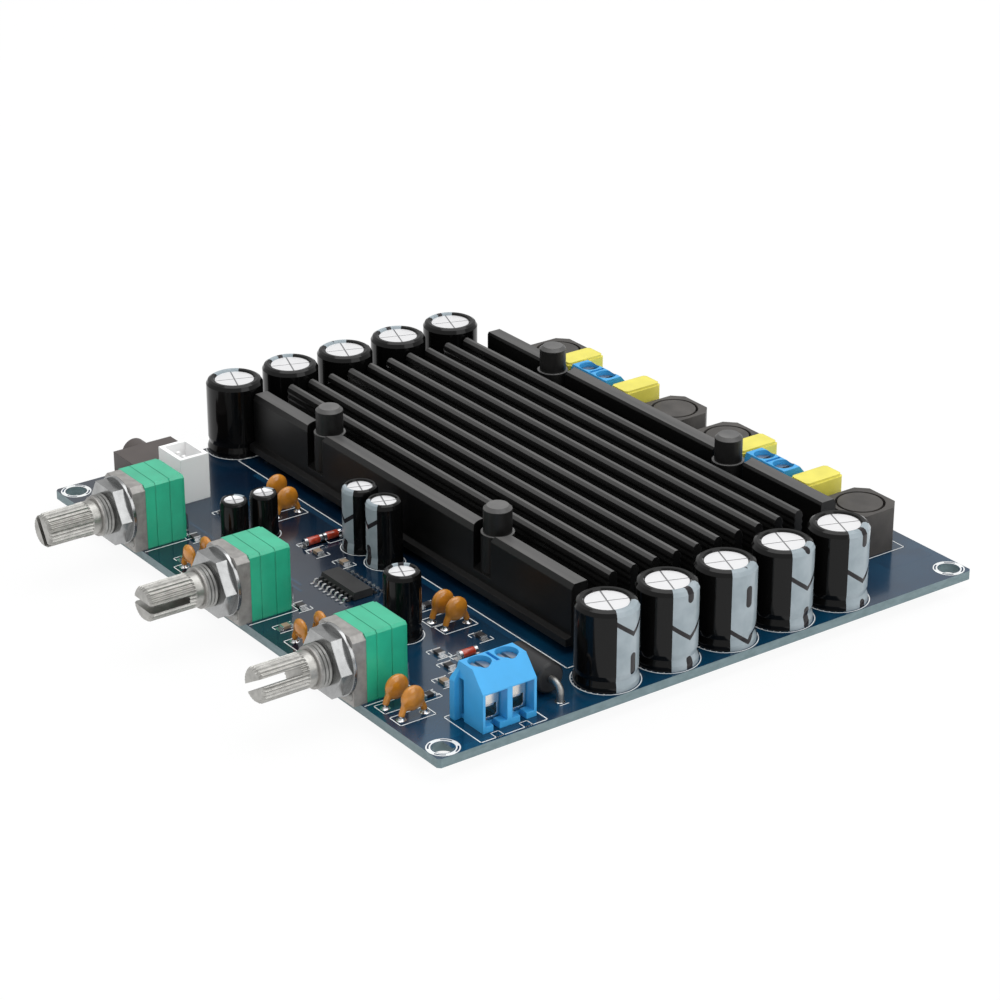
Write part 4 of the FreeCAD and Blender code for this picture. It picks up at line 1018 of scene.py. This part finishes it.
def floor_paint():
    """White paper that keeps the shadow, and that the camera sees as almost white."""
    paint = bpy.data.materials.new("floor_paper")
    paint.use_nodes = True
    tree = paint.node_tree
    paper = next(n for n in tree.nodes if n.type == "BSDF_PRINCIPLED")
    paper.inputs["Base Color"].default_value = (0.92, 0.92, 0.92, 1)
    paper.inputs["Roughness"].default_value = 0.9
    glow = tree.nodes.new("ShaderNodeEmission")
    glow.inputs["Strength"].default_value = 1.0
    rays = tree.nodes.new("ShaderNodeLightPath")
    seen = rays.outputs["Is Camera Ray"]
    for kind in ("Is Transmission Ray", "Is Glossy Ray"):
        step = tree.nodes.new("ShaderNodeMath")
        step.operation = "MAXIMUM"
        tree.links.new(seen, step.inputs[0])
        tree.links.new(rays.outputs[kind], step.inputs[1])
        seen = step.outputs[0]
    share = tree.nodes.new("ShaderNodeMath")
    share.operation = "MULTIPLY"
    share.inputs[1].default_value = FLOOR_GLOW
    tree.links.new(seen, share.inputs[0])
    mixed = tree.nodes.new("ShaderNodeMixShader")
    tree.links.new(share.outputs[0], mixed.inputs[0])
    tree.links.new(paper.outputs[0], mixed.inputs[1])
    tree.links.new(glow.outputs[0], mixed.inputs[2])
    output = next(n for n in tree.nodes if n.type == "OUTPUT_MATERIAL")
    tree.links.new(mixed.outputs[0], output.inputs["Surface"])
    return paint


def make_floor():
    bm = bmesh.new()
    bmesh.ops.create_grid(bm, x_segments=1, y_segments=1, size=FLOOR_SIZE)
    mesh = bpy.data.meshes.new("floor")
    bm.to_mesh(mesh)
    bm.free()
    floor = bpy.data.objects.new("floor", mesh)
    floor.location.z = cad_low.z
    scene.collection.objects.link(floor)
    floor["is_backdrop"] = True
    floor.data.materials.append(floor_paint())


def make_sky():
    """A soft sky that grows brighter with height."""
    world = bpy.data.worlds.new("studio")
    world.use_nodes = True
    scene.world = world
    tree = world.node_tree
    sky = next(n for n in tree.nodes if n.type == "BACKGROUND")
    direction = tree.nodes.new("ShaderNodeTexCoord")
    parts = tree.nodes.new("ShaderNodeSeparateXYZ")
    tree.links.new(direction.outputs["Generated"], parts.inputs[0])
    rise = tree.nodes.new("ShaderNodeMapRange")
    for socket, value in zip(rise.inputs[1:5], (0.0, 0.75, SKY_LOW, SKY_HIGH)):
        socket.default_value = value
    tree.links.new(parts.outputs[2], rise.inputs[0])
    tree.links.new(rise.outputs[0], sky.inputs["Color"])
    sky.inputs["Strength"].default_value = 1.0


def lamp(name, place, side, power):
    """A square soft lamp that faces the part."""
    data = bpy.data.lights.new(name, "AREA")
    data.shape = "RECTANGLE"
    data.size = side
    data.size_y = side
    data.energy = power
    made = bpy.data.objects.new(name, data)
    made.location = place
    made.rotation_mode = "QUATERNION"
    made.rotation_quaternion = (-Vector(place)).to_track_quat("-Z", "Y")
    scene.collection.objects.link(made)


def make_camera(lens, azimuth, elevation, distance, target):
    """Stands the camera at the photograph's angle; lengths are in millimetres."""
    azimuth, elevation = math.radians(azimuth), math.radians(elevation)
    back = Vector((math.sin(azimuth) * math.cos(elevation),
                   -math.cos(azimuth) * math.cos(elevation), math.sin(elevation)))
    data = bpy.data.cameras.new("camera")
    data.lens = lens
    data.sensor_width = 36.0
    data.clip_start = 0.01
    data.clip_end = 20.0
    camera = bpy.data.objects.new("camera", data)
    camera.location = Vector(target) * MM + back * distance * MM
    camera.rotation_mode = "QUATERNION"
    camera.rotation_quaternion = (-back).to_track_quat("-Z", "Y")
    scene.collection.objects.link(camera)
    scene.camera = camera


make_floor()
make_sky()
lamp("overhead", (0.05, 0.15, 0.95), 0.9, 5.0)
lamp("side", (0.85, 0.25, 0.55), 0.6, 1.6)
make_camera(lens=108.737, azimuth=54.063, elevation=24.84, distance=536.791,
            target=(-9.711, 6.899, 1.6))
scene.view_settings.view_transform = "Standard"

low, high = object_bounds()
{"cad": [list(cad_low), list(cad_high)], "visual": [list(low), list(high)]}
